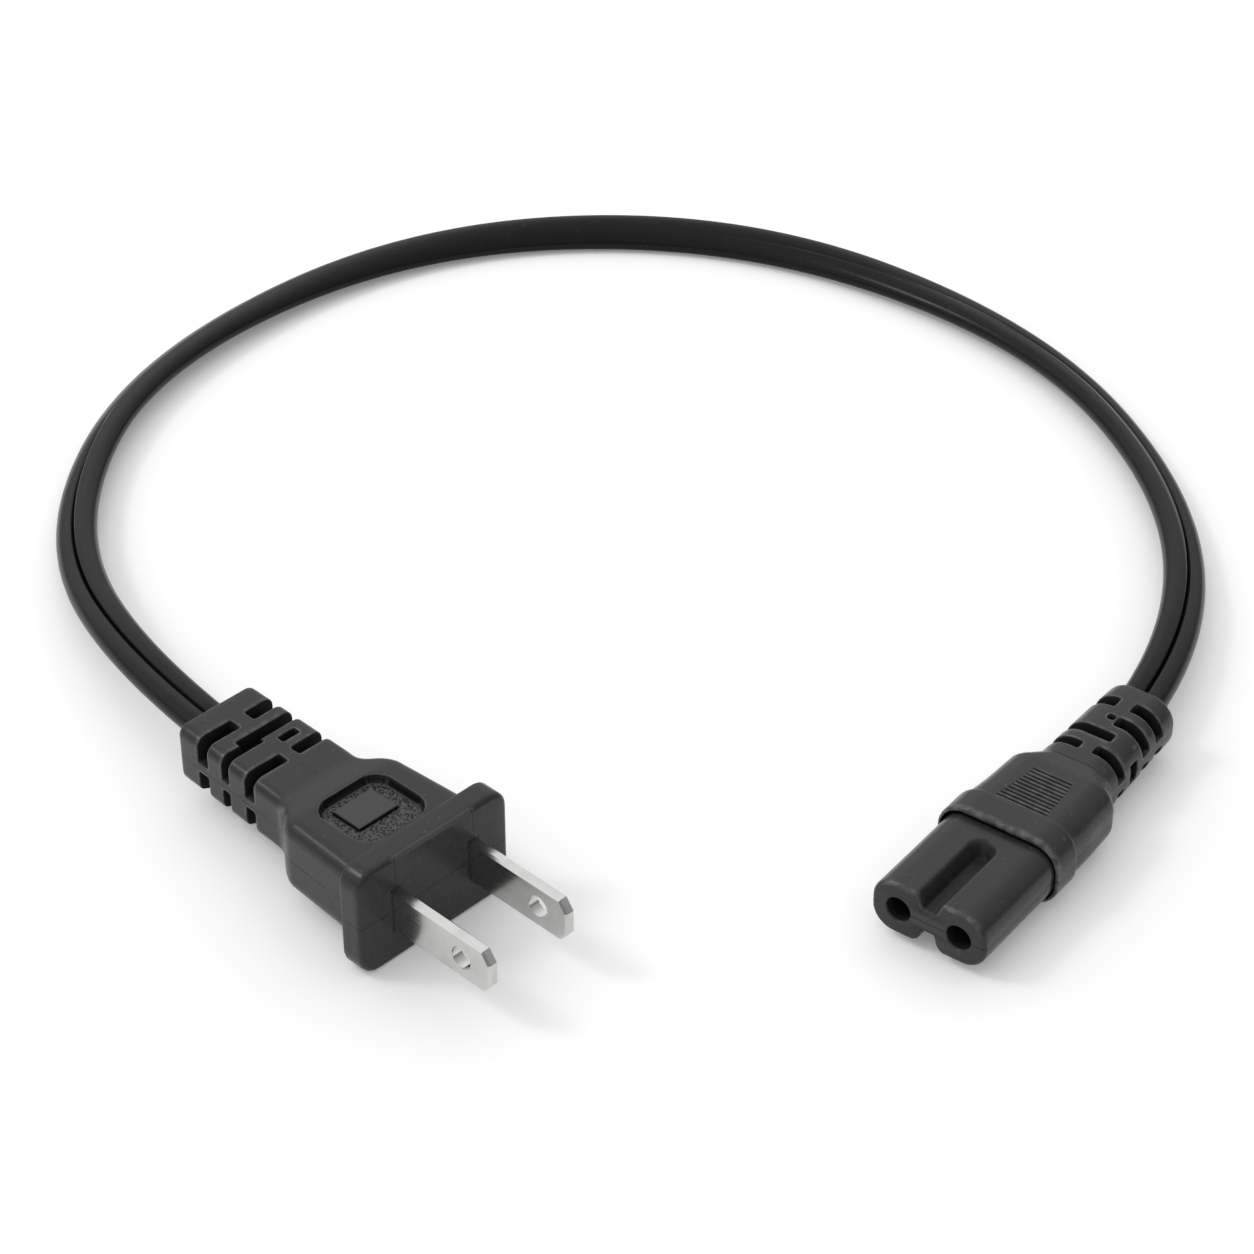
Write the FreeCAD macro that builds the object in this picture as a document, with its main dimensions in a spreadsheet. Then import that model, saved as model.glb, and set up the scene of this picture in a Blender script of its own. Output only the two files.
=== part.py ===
import FreeCAD, Part
import Sketcher
import math
import os
from FreeCAD import Placement, Rotation, Vector

# Frame: origin at the middle of the plug's mating face, +X the way the blades point, +Z up.
# Connector bodies use their own frame, with +X out of the connector's face, and are placed last.

SIZES = {
    # Blades
    "blade_spacing": 12.7,
    "blade_width": 6.35,
    "blade_thick": 1.5,
    "blade_length": 16.75,
    "blade_root": 8.5,
    "blade_bevel": 0.3,
    "tip_run": 1.2,
    "tip_rise": 1.6,
    "blade_hole": 3.2,
    "blade_hole_reach": 11.9,
    "tail_width": 3.2,
    "tail_length": 2.3,
    # Crimp barrels and wire, the same at both ends of the cord
    "barrel_dia": 2.6,
    "barrel_length": 4.0,
    "strand_dia": 1.4,
    "strip_gap": 0.5,
    "lead_dia": 2.8,
    "core_pitch": 3.0,
    "lead_bend": 3.0,
    "barrel_overlap": 0.3,
    "plug_lead_straight": 2.2,
    "plug_lead_closed": 2.5,
    "connector_lead_straight": 4.0,
    "connector_lead_closed": 5.5,
    # Plug moulding, lengths measured back from the mating face
    "flange_width": 24.4,
    "flange_height": 15.7,
    "flange_thick": 3.6,
    "flange_corner": 2.6,
    "flange_edge": 0.7,
    "block_width": 20.4,
    "block_height": 11.1,
    "block_corner": 1.5,
    "block_end": 17.0,
    "block_end_width": 18.8,
    "block_end_height": 10.8,
    "neck_start": 20.5,
    "neck_width": 13.2,
    "neck_height": 8.8,
    "neck_corner": 1.5,
    "plug_length": 41.2,
    "tail_end_width": 12.6,
    "tail_end_height": 8.7,
    "shoulder_round": 1.4,
    "tail_round": 0.8,
    # Recess on the plug's top
    "recess_length": 10.4,
    "recess_width": 10.9,
    "recess_corner": 2.6,
    "recess_depth": 1.0,
    "recess_middle": 11.3,
    "plate_length": 4.9,
    "plate_width": 6.4,
    "plate_height": 0.4,
    "plate_corner": 0.4,
    "plate_setback": 0.9,
    # Blade carrier inside the plug
    "carrier_front": 2.5,
    "carrier_width": 17.0,
    "carrier_height": 7.6,
    "carrier_corner": 1.2,
    # Strain relief of the plug
    "relief_slot": 1.9,
    "relief_row_tail": 36.75,
    "relief_row_middle": 32.45,
    "relief_row_front": 27.35,
    "relief_stagger": 0.55,
    "relief_bridge": 2.1,
    "relief_lap": 3.5,
    "relief_rib": 1.5,
    "relief_core_wall": 0.7,
    "eye_row": 30.25,
    "eye_length": 2.8,
    "eye_width": 1.1,
    "eye_offset": 2.45,
    "eye_depth": 1.2,
    # Cord
    "cord_width": 6.1,
    "cord_thick": 3.3,
    "plug_cord_end": 25.5,
    "plug_end_run": 29.5,
    "connector_end_run": 26.5,
    # Connector, lengths measured back from its face
    "nose_width": 16.2,
    "nose_height": 7.7,
    "nose_corner": 3.2,
    "nose_reach": 15.8,
    "nose_length": 18.4,
    "nose_edge": 0.6,
    "groove_width": 3.4,
    "groove_depth": 2.1,
    "groove_length": 13.5,
    "socket_spacing": 8.6,
    "mouth_dia": 3.4,
    "mouth_depth": 4.5,
    "sleeve_dia": 3.1,
    "sleeve_bore": 2.4,
    "sleeve_length": 9.0,
    "sleeve_stop": 1.0,
    "collar_gap": 0.3,
    "collar_gap_depth": 1.2,
    "collar_width": 17.9,
    "collar_height": 9.9,
    "collar_corner": 4.2,
    "collar_end": 20.4,
    "collar_edge": 0.4,
    "grip_width": 16.5,
    "grip_height": 9.5,
    "grip_corner": 3.6,
    "grip_end": 30.4,
    "grip_end_width": 15.7,
    "grip_end_height": 9.3,
    "sleeve_start": 33.2,
    "sleeve_start_width": 11.4,
    "sleeve_start_height": 8.4,
    "sleeve_corner": 3.6,
    "connector_length": 50.5,
    "sleeve_end_width": 9.6,
    "sleeve_end_height": 8.1,
    "grip_round": 1.2,
    "connector_slot": 1.8,
    "connector_row_tail": 46.8,
    "connector_row_rear": 43.2,
    "connector_row_middle": 39.9,
    "connector_row_front": 36.45,
    "connector_bridge": 2.0,
    "window_height": 3.2,
    "connector_cord_end": 36.0,
    "rib_count": 11,
    "rib_first": 21.0,
    "rib_last": 28.0,
    "rib_cut_width": 0.32,
    "rib_cut_depth": 0.3,
    "rib_front_length": 7.1,
    "rib_back_length": 5.5,
    "pinhole_side": 1.0,
    # How far cutting shapes run past the piece that they cut
    "cut_reach": 20.0,
    # Where the connector lies
    "connector_x": 45.4,
    "connector_y": 38.4,
    "connector_yaw": 277.4,
}

# The cord's free route, each point with its height over the cord's lying height
ROUTE = [
    (-98.0, 18.5, 0.8),
    (-122.5, 55.0, 0.0),
    (-121.0, 109.0, 0.0),
    (-85.0, 148.0, 0.0),
    (-31.5, 154.0, 0.0),
    (13.0, 133.5, 0.0),
]

doc = FreeCAD.newDocument("type_a_plug")
sheet = doc.addObject("Spreadsheet::Sheet", "sheet")
for row, (alias, value) in enumerate(SIZES.items(), 1):
    sheet.set("A%d" % row, alias)
    sheet.set("B%d" % row, str(value))
    sheet.setAlias("B%d" % row, alias)
doc.recompute()


def size(alias):
    """Value of one named cell of the sheet."""
    return float(sheet.get(alias))


def bind(text):
    """Expression text in which each known alias is read from the sheet."""
    words = []
    for word in text.replace("(", " ( ").replace(")", " ) ").split():
        words.append("sheet." + word if word in SIZES else word)
    return " ".join(words)


# Sketch helpers

def new_body(label):
    body = doc.addObject("PartDesign::Body", label)
    body.Label = label
    return body


def sketch_on(body, role, name, offset="0"):
    """Sketch on one of the body's origin planes, moved along the plane's normal."""
    plane = [item for item in body.Origin.OriginFeatures if item.Role == role][0]
    sketch = body.newObject("Sketcher::SketchObject", name)
    sketch.AttachmentSupport = [(plane, "")]
    sketch.MapMode = "FlatFace"
    sketch.setExpression("AttachmentOffset.Base.z", bind(offset))
    return sketch


def drive(sketch, kind, arguments, name, text):
    """Adds a dimension and binds it to the sheet."""
    index = sketch.addConstraint(Sketcher.Constraint(kind, *arguments))
    sketch.renameConstraint(index, name)
    sketch.setExpression("Constraints." + name, bind(text))


def line(sketch, start, end):
    return sketch.addGeometry(Part.LineSegment(Vector(*start, 0), Vector(*end, 0)), False)


def arc(sketch, middle, radius, first, last):
    circle = Part.Circle(Vector(*middle, 0), Vector(0, 0, 1), radius)
    return sketch.addGeometry(Part.ArcOfCircle(circle, math.radians(first), math.radians(last)), False)


def rounded_rectangle(sketch, width, height, corner):
    """Rectangle with round corners about the sketch's origin."""
    w, h, r = 6.0, 5.0, 1.0
    top = line(sketch, (w - r, h), (r - w, h))
    left = line(sketch, (-w, h - r), (-w, r - h))
    bottom = line(sketch, (r - w, -h), (w - r, -h))
    right = line(sketch, (w, r - h), (w, h - r))
    sides = [top, left, bottom, right]
    middles = [(r - w, h - r), (r - w, r - h), (w - r, r - h), (w - r, h - r)]
    corners = []
    for index, middle in enumerate(middles):
        corners.append(arc(sketch, middle, r, 90 * index + 90, 90 * index + 180))
    for index in range(4):
        sketch.addConstraint(Sketcher.Constraint("Tangent", sides[index], 2, corners[index], 1))
        sketch.addConstraint(Sketcher.Constraint("Tangent", corners[index], 2, sides[(index + 1) % 4], 1))
    sketch.addConstraint(Sketcher.Constraint("Symmetric", top, 1, top, 2, -2))
    sketch.addConstraint(Sketcher.Constraint("Symmetric", right, 1, right, 2, -1))
    sketch.addConstraint(Sketcher.Constraint("Horizontal", bottom))
    sketch.addConstraint(Sketcher.Constraint("Vertical", left))
    for index in (1, 2, 3):
        sketch.addConstraint(Sketcher.Constraint("Equal", corners[0], corners[index]))
    drive(sketch, "Radius", (corners[0], r), "corner", corner)
    drive(sketch, "DistanceX", (left, 1, right, 1, 2 * w), "width", width)
    drive(sketch, "DistanceY", (bottom, 1, top, 1, 2 * h), "height", height)


def stadium(sketch, width, height):
    """Slot outline about the sketch's origin, with full round ends."""
    half, r = 4.0, 3.0
    top = line(sketch, (half, r), (-half, r))
    left = arc(sketch, (-half, 0), r, 90, 270)
    bottom = line(sketch, (-half, -r), (half, -r))
    right = arc(sketch, (half, 0), r, 270, 450)
    ring = [top, left, bottom, right]
    for index in range(4):
        sketch.addConstraint(Sketcher.Constraint("Tangent", ring[index], 2, ring[(index + 1) % 4], 1))
    sketch.addConstraint(Sketcher.Constraint("Equal", left, right))
    sketch.addConstraint(Sketcher.Constraint("Symmetric", left, 3, right, 3, -1, 1))
    sketch.addConstraint(Sketcher.Constraint("Horizontal", top))
    drive(sketch, "DistanceX", (left, 3, right, 3, 2 * half), "span", width + " - ( " + height + " )")
    drive(sketch, "Radius", (left, r), "end", "( " + height + " ) / 2")


def pad(body, sketch, length, reverse=False):
    feature = body.newObject("PartDesign::Pad", sketch.Name + "_pad")
    feature.Profile = sketch
    feature.setExpression("Length", bind(length))
    feature.Reversed = reverse
    return feature


def pocket(body, sketch, depth):
    feature = body.newObject("PartDesign::Pocket", sketch.Name + "_pocket")
    feature.Profile = sketch
    feature.setExpression("Length", bind(depth))
    return feature


def loft(body, sketches):
    feature = body.newObject("PartDesign::AdditiveLoft", sketches[0].Name + "_loft")
    feature.Profile = sketches[0]
    feature.Sections = sketches[1:]
    feature.Ruled = True
    return feature


def round_edges(body, radius, at_x, least=0.0):
    """Rounds the edges of the body's tip that lie in the plane x = at_x, outside a half width."""
    doc.recompute()
    tip = body.Tip
    names = []
    for index, edge in enumerate(tip.Shape.Edges, 1):
        box = edge.BoundBox
        flat = abs(box.XMin - at_x) < 1e-4 and abs(box.XMax - at_x) < 1e-4
        if flat and max(abs(box.YMin), abs(box.YMax)) > least:
            names.append("Edge%d" % index)
    feature = body.newObject("PartDesign::Fillet", "round_" + radius)
    feature.Base = (tip, names)
    feature.setExpression("Radius", bind(radius))
    doc.recompute()
    return feature


def place(item, x="0", y="0", z="0"):
    for axis, text in zip("xyz", (x, y, z)):
        item.setExpression("Placement.Base." + axis, bind(text))


def box(name, x_low, x_high, y_low, y_high, z_low, z_high):
    """Block between six driven places."""
    item = doc.addObject("Part::Box", name)
    spans = [(x_low, x_high), (y_low, y_high), (z_low, z_high)]
    for field, (low, high) in zip(("Length", "Width", "Height"), spans):
        item.setExpression(field, bind("( %s ) - ( %s )" % (high, low)))
    place(item, x_low, y_low, z_low)
    return item


def rod(name, diameter, x_low, x_high, y="0"):
    """Round rod along X between two driven places."""
    item = doc.addObject("Part::Cylinder", name)
    item.Placement = Placement(Vector(), Rotation(Vector(0, 1, 0), 90))
    item.setExpression("Radius", bind("( %s ) / 2" % diameter))
    item.setExpression("Height", bind("( %s ) - ( %s )" % (x_high, x_low)))
    place(item, x_low, y)
    return item


def fuse(name, items):
    result = doc.addObject("Part::MultiFuse", name)
    result.Shapes = items
    return result


def cut(name, base, tool):
    result = doc.addObject("Part::Cut", name)
    result.Label = name
    result.Base = base
    result.Tool = tool
    return result


def solid(name, shape):
    item = doc.addObject("Part::Feature", name)
    item.Label = name
    item.Shape = shape
    return item


# Paths of straight runs joined by tangent arcs

def bent_path(points, bend=None):
    """Wire through the points; without a bend radius each arc is as large as its two runs allow."""
    points = [Vector(*point) for point in points]
    edges = []
    radii = []
    start = points[0]
    for before, corner, after in zip(points, points[1:], points[2:]):
        arriving = (corner - before).normalize()
        leaving = (after - corner).normalize()
        half_turn = arriving.getAngle(leaving) / 2
        reach = 0.45 * min((corner - before).Length, (after - corner).Length)
        if bend is not None:
            reach = bend * math.tan(half_turn)
        radius = reach / math.tan(half_turn)
        radii.append(round(radius, 1))
        first = corner - arriving * reach
        last = corner + leaving * reach
        inward = (leaving - arriving).normalize()
        middle = corner + inward * (radius / math.cos(half_turn) - radius)
        edges.append(Part.LineSegment(start, first).toShape())
        edges.append(Part.Arc(first, middle, last).toShape())
        start = last
    edges.append(Part.LineSegment(start, points[-1]).toShape())
    return Part.Wire(edges), radii


def round_tube(points, diameter, bend):
    """Solid rod of round section along a bent path in a level plane."""
    path, _ = bent_path(points, bend)
    toward = Vector(*points[1]) - Vector(*points[0])
    ring = Part.Wire([Part.Circle(Vector(*points[0]), toward, diameter / 2).toShape()])
    return path.makePipe(Part.Face(ring))


def flat_section(middle, along, width, thick):
    """Upright outline of the flat cord, wide side level, across the given direction."""
    side = Vector(0, 0, 1).cross(along).normalize()
    up = Vector(0, 0, 1)
    half = (width - thick) / 2
    r = thick / 2
    a = middle + side * half
    b = middle - side * half
    top = Part.LineSegment(a + up * r, b + up * r).toShape()
    far = Part.Arc(b + up * r, b - side * r, b - up * r).toShape()
    low = Part.LineSegment(b - up * r, a - up * r).toShape()
    near = Part.Arc(a - up * r, a + side * r, a + up * r).toShape()
    return Part.Wire([top, far, low, near])


# Plug moulding: flange, grip block, shoulder and neck

plug_skin = new_body("plug_skin")
flange = sketch_on(plug_skin, "YZ_Plane", "flange")
rounded_rectangle(flange, "flange_width", "flange_height", "flange_corner")
pad(plug_skin, flange, "flange_thick", reverse=True)
sections = [
    ("block_front", "flange_thick", "block_width", "block_height", "block_corner"),
    ("block_back", "block_end", "block_end_width", "block_end_height", "block_corner"),
    ("neck_front", "neck_start", "neck_width", "neck_height", "neck_corner"),
    ("neck_back", "plug_length", "tail_end_width", "tail_end_height", "neck_corner"),
]
outlines = []
for name, back, width, height, corner in sections:
    outline = sketch_on(plug_skin, "YZ_Plane", name, "0 - " + back)
    rounded_rectangle(outline, width, height, corner)
    outlines.append(outline)
loft(plug_skin, outlines)
round_edges(plug_skin, "flange_edge", 0.0)
round_edges(plug_skin, "shoulder_round", -size("block_end"))
round_edges(plug_skin, "shoulder_round", -size("neck_start"))
round_edges(plug_skin, "tail_round", -size("plug_length"))

# Shallow recess on top with a raised bare plate in it
recess = sketch_on(plug_skin, "XY_Plane", "recess", "block_height / 2 + cut_reach")
rounded_rectangle(recess, "recess_length", "recess_width", "recess_corner")
recess.setExpression("AttachmentOffset.Base.x", bind("0 - recess_middle"))
pocket(plug_skin, recess, "recess_depth + cut_reach")
plate = sketch_on(plug_skin, "XY_Plane", "plate", "block_height / 2 - recess_depth")
rounded_rectangle(plate, "plate_length", "plate_width", "plate_corner")
plate.setExpression("AttachmentOffset.Base.x", bind("0 - recess_middle - plate_setback"))
pad(plug_skin, plate, "plate_height")
doc.recompute()


# Strain reliefs: slots over both halves that leave side ribs and a core round the cord

def relief_cutters(name, slots, slot, core, windows=()):
    """Slot blocks; each slot has a row, a side and the place where it starts beside the middle."""
    blocks = []
    for row, side in windows:
        y_low, y_high = ("0", "cut_reach") if side == "left" else ("0 - cut_reach", "0")
        x_low = "0 - ( %s ) - %s / 2" % (row, slot)
        x_high = "0 - ( %s ) + %s / 2" % (row, slot)
        title = "%s_window_%s" % (name, side)
        blocks.append(box(title, x_low, x_high, y_low, y_high, "0 - window_height / 2", "window_height / 2"))
    for index, (row, side, inner) in enumerate(slots):
        for half in ("upper", "lower"):
            z_low, z_high = "relief_rib / 2", "cut_reach"
            if half == "lower":
                z_low, z_high = "0 - cut_reach", "0 - relief_rib / 2"
            y_low, y_high = (inner, "cut_reach") if side == "left" else ("0 - cut_reach", "0 - ( %s )" % inner)
            title = "%s_%s_%d" % (name, half, index)
            x_low = "0 - ( %s ) - %s / 2" % (row, slot)
            x_high = "0 - ( %s ) + %s / 2" % (row, slot)
            blocks.append(box(title, x_low, x_high, y_low, y_high, z_low, z_high))
    return cut(name, fuse(name + "_blocks", blocks), core)


def cord_core(name, front, back, wall):
    """Straight piece of the cord's outline, with a wall round it."""
    body = new_body(name)
    outline = sketch_on(body, "YZ_Plane", name + "_outline", "0 - ( %s )" % front)
    stadium(outline, "cord_width + 2 * " + wall, "cord_thick + 2 * " + wall)
    pad(body, outline, "%s - ( %s )" % (back, front), reverse=True)
    return body


plug_core = cord_core("plug_core", "neck_start", "plug_length + cut_reach", "relief_core_wall")
plug_slots = [
    ("relief_row_tail", "left", "relief_bridge / 2"),
    ("relief_row_tail", "right", "relief_bridge / 2"),
    ("relief_row_middle + relief_stagger", "left", "0 - relief_lap"),
    ("relief_row_middle - relief_stagger / 2", "right", "relief_bridge / 2"),
    ("relief_row_front", "left", "relief_bridge / 2"),
    ("relief_row_front", "right", "relief_bridge / 2"),
]
plug_cutters = relief_cutters("plug_cutters", plug_slots, "relief_slot", plug_core)


# Wires: bare strands in the crimp barrel, then the insulated lead to the cord's end

def lead_points(x_first, x_bend, y_out, x_join, x_last, side):
    y_in = size("core_pitch") / 2
    return [(x_first, side * y_out, 0), (x_bend, side * y_out, 0), (x_join, side * y_in, 0), (x_last, side * y_in, 0)]


def wire_pair(name, side, strand_first, lead_first, end, y_out, x_last):
    """Strands and lead insulation of one core, in the frame of the moulding they lie in."""
    x_bend = lead_first - size(end + "_lead_straight")
    x_join = x_last + size(end + "_lead_closed")
    strand_route = lead_points(strand_first, x_bend, y_out, x_join, x_last, side)
    lead_route = lead_points(lead_first, x_bend, y_out, x_join, x_last, side)
    bend = size("lead_bend")
    strands = solid(name + "_strand_rod", round_tube(strand_route, size("strand_dia"), bend))
    lead = solid(name + "_lead_rod", round_tube(lead_route, size("lead_dia"), bend))
    return strands, lead


SIDES = {"near": -1, "far": 1}
plug_barrel_front = size("blade_root") + size("tail_length")
plug_barrel_back = plug_barrel_front + size("barrel_length")
plug_lead_front = plug_barrel_back + size("strip_gap")
nodes = []
plug_inner = []
for end, side in SIDES.items():
    middle = "blade_spacing / 2" if side > 0 else "0 - blade_spacing / 2"

    # Blade outline, seen from the side, with its tip, its hole and its narrow tail
    blade_body = new_body("blade_%s_plate" % end)
    outline = sketch_on(blade_body, "XZ_Plane", "blade_%s_outline" % end)
    tip = size("blade_length")
    run, rise = size("tip_run"), size("tip_rise")
    half = size("blade_width") / 2
    root, back = -size("blade_root"), -plug_barrel_front
    tail = size("tail_width") / 2
    corners = [(back, tail), (back, -tail), (root, -tail), (root, -half), (tip - run, -half), (tip, rise - half)]
    corners += [(tip, half - rise), (tip - run, half), (root, half), (root, tail)]
    count = len(corners)
    for index in range(count):
        line(outline, corners[index], corners[(index + 1) % count])
    for index in range(count):
        outline.addConstraint(Sketcher.Constraint("Coincident", index, 2, (index + 1) % count, 1))
    for index in (2, 5, 8):
        outline.addConstraint(Sketcher.Constraint("Vertical", index))
    for index in (1, 3, 7, 9):
        outline.addConstraint(Sketcher.Constraint("Horizontal", index))
    outline.addConstraint(Sketcher.Constraint("Symmetric", 0, 1, 0, 2, -1))
    outline.addConstraint(Sketcher.Constraint("Symmetric", 3, 2, 7, 1, -1))
    outline.addConstraint(Sketcher.Constraint("Vertical", 2, 2, 8, 1))
    outline.addConstraint(Sketcher.Constraint("Equal", 4, 6))
    drive(outline, "DistanceX", (-1, 1, 5, 1, tip), "reach", "blade_length")
    drive(outline, "DistanceX", (3, 2, 5, 1, run), "run", "tip_run")
    drive(outline, "DistanceY", (3, 2, 5, 1, rise), "rise", "tip_rise")
    drive(outline, "DistanceY", (3, 2, 7, 1, 2 * half), "width", "blade_width")
    drive(outline, "DistanceX", (2, 2, -1, 1, -root), "root", "blade_root")
    drive(outline, "DistanceX", (0, 1, 2, 1, root - back), "tail", "tail_length")
    drive(outline, "DistanceY", (0, 2, 0, 1, 2 * tail), "tail_high", "tail_width")
    hole = outline.addGeometry(Part.Circle(Vector(size("blade_hole_reach"), 0, 0), Vector(0, 0, 1), 1.5), False)
    outline.addConstraint(Sketcher.Constraint("PointOnObject", hole, 3, -1))
    drive(outline, "DistanceX", (-1, 1, hole, 3, size("blade_hole_reach")), "hole_reach", "blade_hole_reach")
    drive(outline, "Radius", (hole, 1.5), "hole", "blade_hole / 2")
    plate_pad = pad(blade_body, outline, "blade_thick")
    plate_pad.Midplane = True
    place(blade_body, "0", middle)
    doc.recompute()

    # Bevel round the outer part of the blade, on both faces
    names = []
    for index, edge in enumerate(plate_pad.Shape.Edges, 1):
        spot = edge.BoundBox
        flat = abs(spot.YMax - spot.YMin) < 1e-6
        outside = spot.XMax > 0.5 and not isinstance(edge.Curve, Part.Circle)
        if flat and outside:
            names.append("Edge%d" % index)
    bevel = blade_body.newObject("PartDesign::Chamfer", "blade_%s_bevel" % end)
    bevel.Base = (plate_pad, names)
    bevel.setExpression("Size", bind("blade_bevel"))

    # Crimp barrel behind the tail
    overlap = "blade_root + tail_length - barrel_overlap"
    barrel_end = "0 - blade_root - tail_length - barrel_length"
    barrel = rod("blade_%s_barrel" % end, "barrel_dia", barrel_end, "0 - ( %s )" % overlap, middle)
    strands, lead = wire_pair(
        "plug_" + end, side, -plug_barrel_front, -plug_lead_front, "plug",
        size("blade_spacing") / 2, -size("plug_cord_end"))
    envelope = fuse("blade_%s_whole" % end, [blade_body, barrel])
    nodes.append(cut("blade_" + end, envelope, strands))
    nodes.append(cut("plug_lead_" + end, lead, strands))
    nodes.append(solid("plug_strands_" + end, strands.Shape.copy()))
    plug_inner += [envelope, lead, strands]

# Carrier block with the two blades through it
carrier_body = new_body("carrier_block")
carrier_outline = sketch_on(carrier_body, "YZ_Plane", "carrier_outline", "0 - carrier_front")
rounded_rectangle(carrier_outline, "carrier_width", "carrier_height", "carrier_corner")
pad(carrier_body, carrier_outline, "blade_root - carrier_front", reverse=True)
blades = fuse("both_blades", [doc.getObject("blade_near_whole"), doc.getObject("blade_far_whole")])
nodes.append(cut("blade_carrier", carrier_body, blades))

# Finished plug moulding
plug_seat = cord_core("plug_seat", "plug_cord_end", "plug_length + cut_reach", "0")
plug_core_open = fuse("plug_filling", plug_inner + [carrier_body, plug_seat])
eye = box(
    "eye", "0 - eye_row - eye_width / 2", "0 - eye_row + eye_width / 2",
    "eye_offset - eye_length / 2", "eye_offset + eye_length / 2", "tail_end_height / 2 - eye_depth", "cut_reach")
slotted_plug = cut("plug_slotted", plug_skin, fuse("plug_trimmings", [plug_cutters, eye]))
nodes.append(cut("plug_overmould", slotted_plug, plug_core_open))


# Connector nose: hard insert with a key groove on both faces
nose_body = new_body("nose_body")
nose_outline = sketch_on(nose_body, "YZ_Plane", "nose_outline")
rounded_rectangle(nose_outline, "nose_width", "nose_height", "nose_corner")
pad(nose_body, nose_outline, "nose_length", reverse=True)
round_edges(nose_body, "nose_edge", 0.0)
groove = sketch_on(nose_body, "XY_Plane", "key_groove", "nose_height / 2 + cut_reach")
stadium(groove, "groove_length + cut_reach", "groove_width")
groove.setExpression("AttachmentOffset.Base.x", bind("( cut_reach - groove_length ) / 2"))
upper_groove = pocket(nose_body, groove, "groove_depth + cut_reach")
lower_groove = nose_body.newObject("PartDesign::Mirrored", "lower_groove")
lower_groove.Originals = [upper_groove]
level = [item for item in nose_body.Origin.OriginFeatures if item.Role == "XY_Plane"][0]
lower_groove.MirrorPlane = (level, [""])
nose_body.Tip = lower_groove
doc.recompute()

# Connector moulding: collar, ribbed grip and strain relief
connector_skin = new_body("connector_skin")
collar = sketch_on(connector_skin, "YZ_Plane", "collar", "0 - nose_reach")
rounded_rectangle(collar, "collar_width", "collar_height", "collar_corner")
pad(connector_skin, collar, "collar_end - nose_reach", reverse=True)
sections = [
    ("grip_front", "collar_end", "grip_width", "grip_height", "grip_corner"),
    ("grip_back", "grip_end", "grip_end_width", "grip_end_height", "grip_corner"),
    ("sleeve_front", "sleeve_start", "sleeve_start_width", "sleeve_start_height", "sleeve_corner"),
    ("sleeve_back", "connector_length", "sleeve_end_width", "sleeve_end_height", "sleeve_corner"),
]
outlines = []
for name, back, width, height, corner in sections:
    outline = sketch_on(connector_skin, "YZ_Plane", name, "0 - " + back)
    rounded_rectangle(outline, width, height, corner)
    outlines.append(outline)
loft(connector_skin, outlines)
round_edges(connector_skin, "collar_edge", -size("nose_reach"))
round_edges(connector_skin, "grip_round", -size("grip_end"))
round_edges(connector_skin, "grip_round", -size("sleeve_start"))
round_edges(connector_skin, "tail_round", -size("connector_length"))

# Clearance moat round the nose at the collar's mouth
moat_body = new_body("moat_body")
moat = sketch_on(moat_body, "YZ_Plane", "moat", "cut_reach - nose_reach")
rounded_rectangle(moat, "nose_width + 2 * collar_gap", "nose_height + 2 * collar_gap", "nose_corner + collar_gap")
pad(moat_body, moat, "collar_gap_depth + cut_reach", reverse=True)

# Fine grip ribs, cut as grooves on the top and the underside
rib_cuts = []
steps = int(size("rib_count")) - 1
for index in range(steps + 1):
    share = "%d / ( rib_count - 1 )" % index
    row = "( rib_first + ( rib_last - rib_first ) * %s )" % share
    reach = "( rib_front_length + ( rib_back_length - rib_front_length ) * %s ) / 2" % share
    x_low = "0 - %s - rib_cut_width / 2" % row
    x_high = "0 - %s + rib_cut_width / 2" % row
    deep = "grip_end_height / 2 - rib_cut_depth"
    for face, z_low, z_high in (("top", deep, "cut_reach"), ("under", "0 - cut_reach", "0 - ( %s )" % deep)):
        rib_cuts.append(box("rib_%s_%d" % (face, index), x_low, x_high, "0 - " + reach, reach, z_low, z_high))

connector_core = cord_core("connector_core", "sleeve_start", "connector_length + cut_reach", "relief_core_wall")
connector_slots = [
    ("connector_row_tail", "left", "connector_bridge / 2"),
    ("connector_row_tail", "right", "connector_bridge / 2"),
    ("connector_row_rear", "left", "connector_bridge / 2"),
    ("connector_row_middle", "right", "0 - connector_bridge"),
    ("connector_row_front", "left", "connector_bridge / 2"),
    ("connector_row_front", "right", "connector_bridge / 2"),
]
side_windows = [("connector_row_middle", "left"), ("connector_row_rear", "right")]
connector_cutters = relief_cutters(
    "connector_cutters", connector_slots, "connector_slot", connector_core, side_windows)

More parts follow.
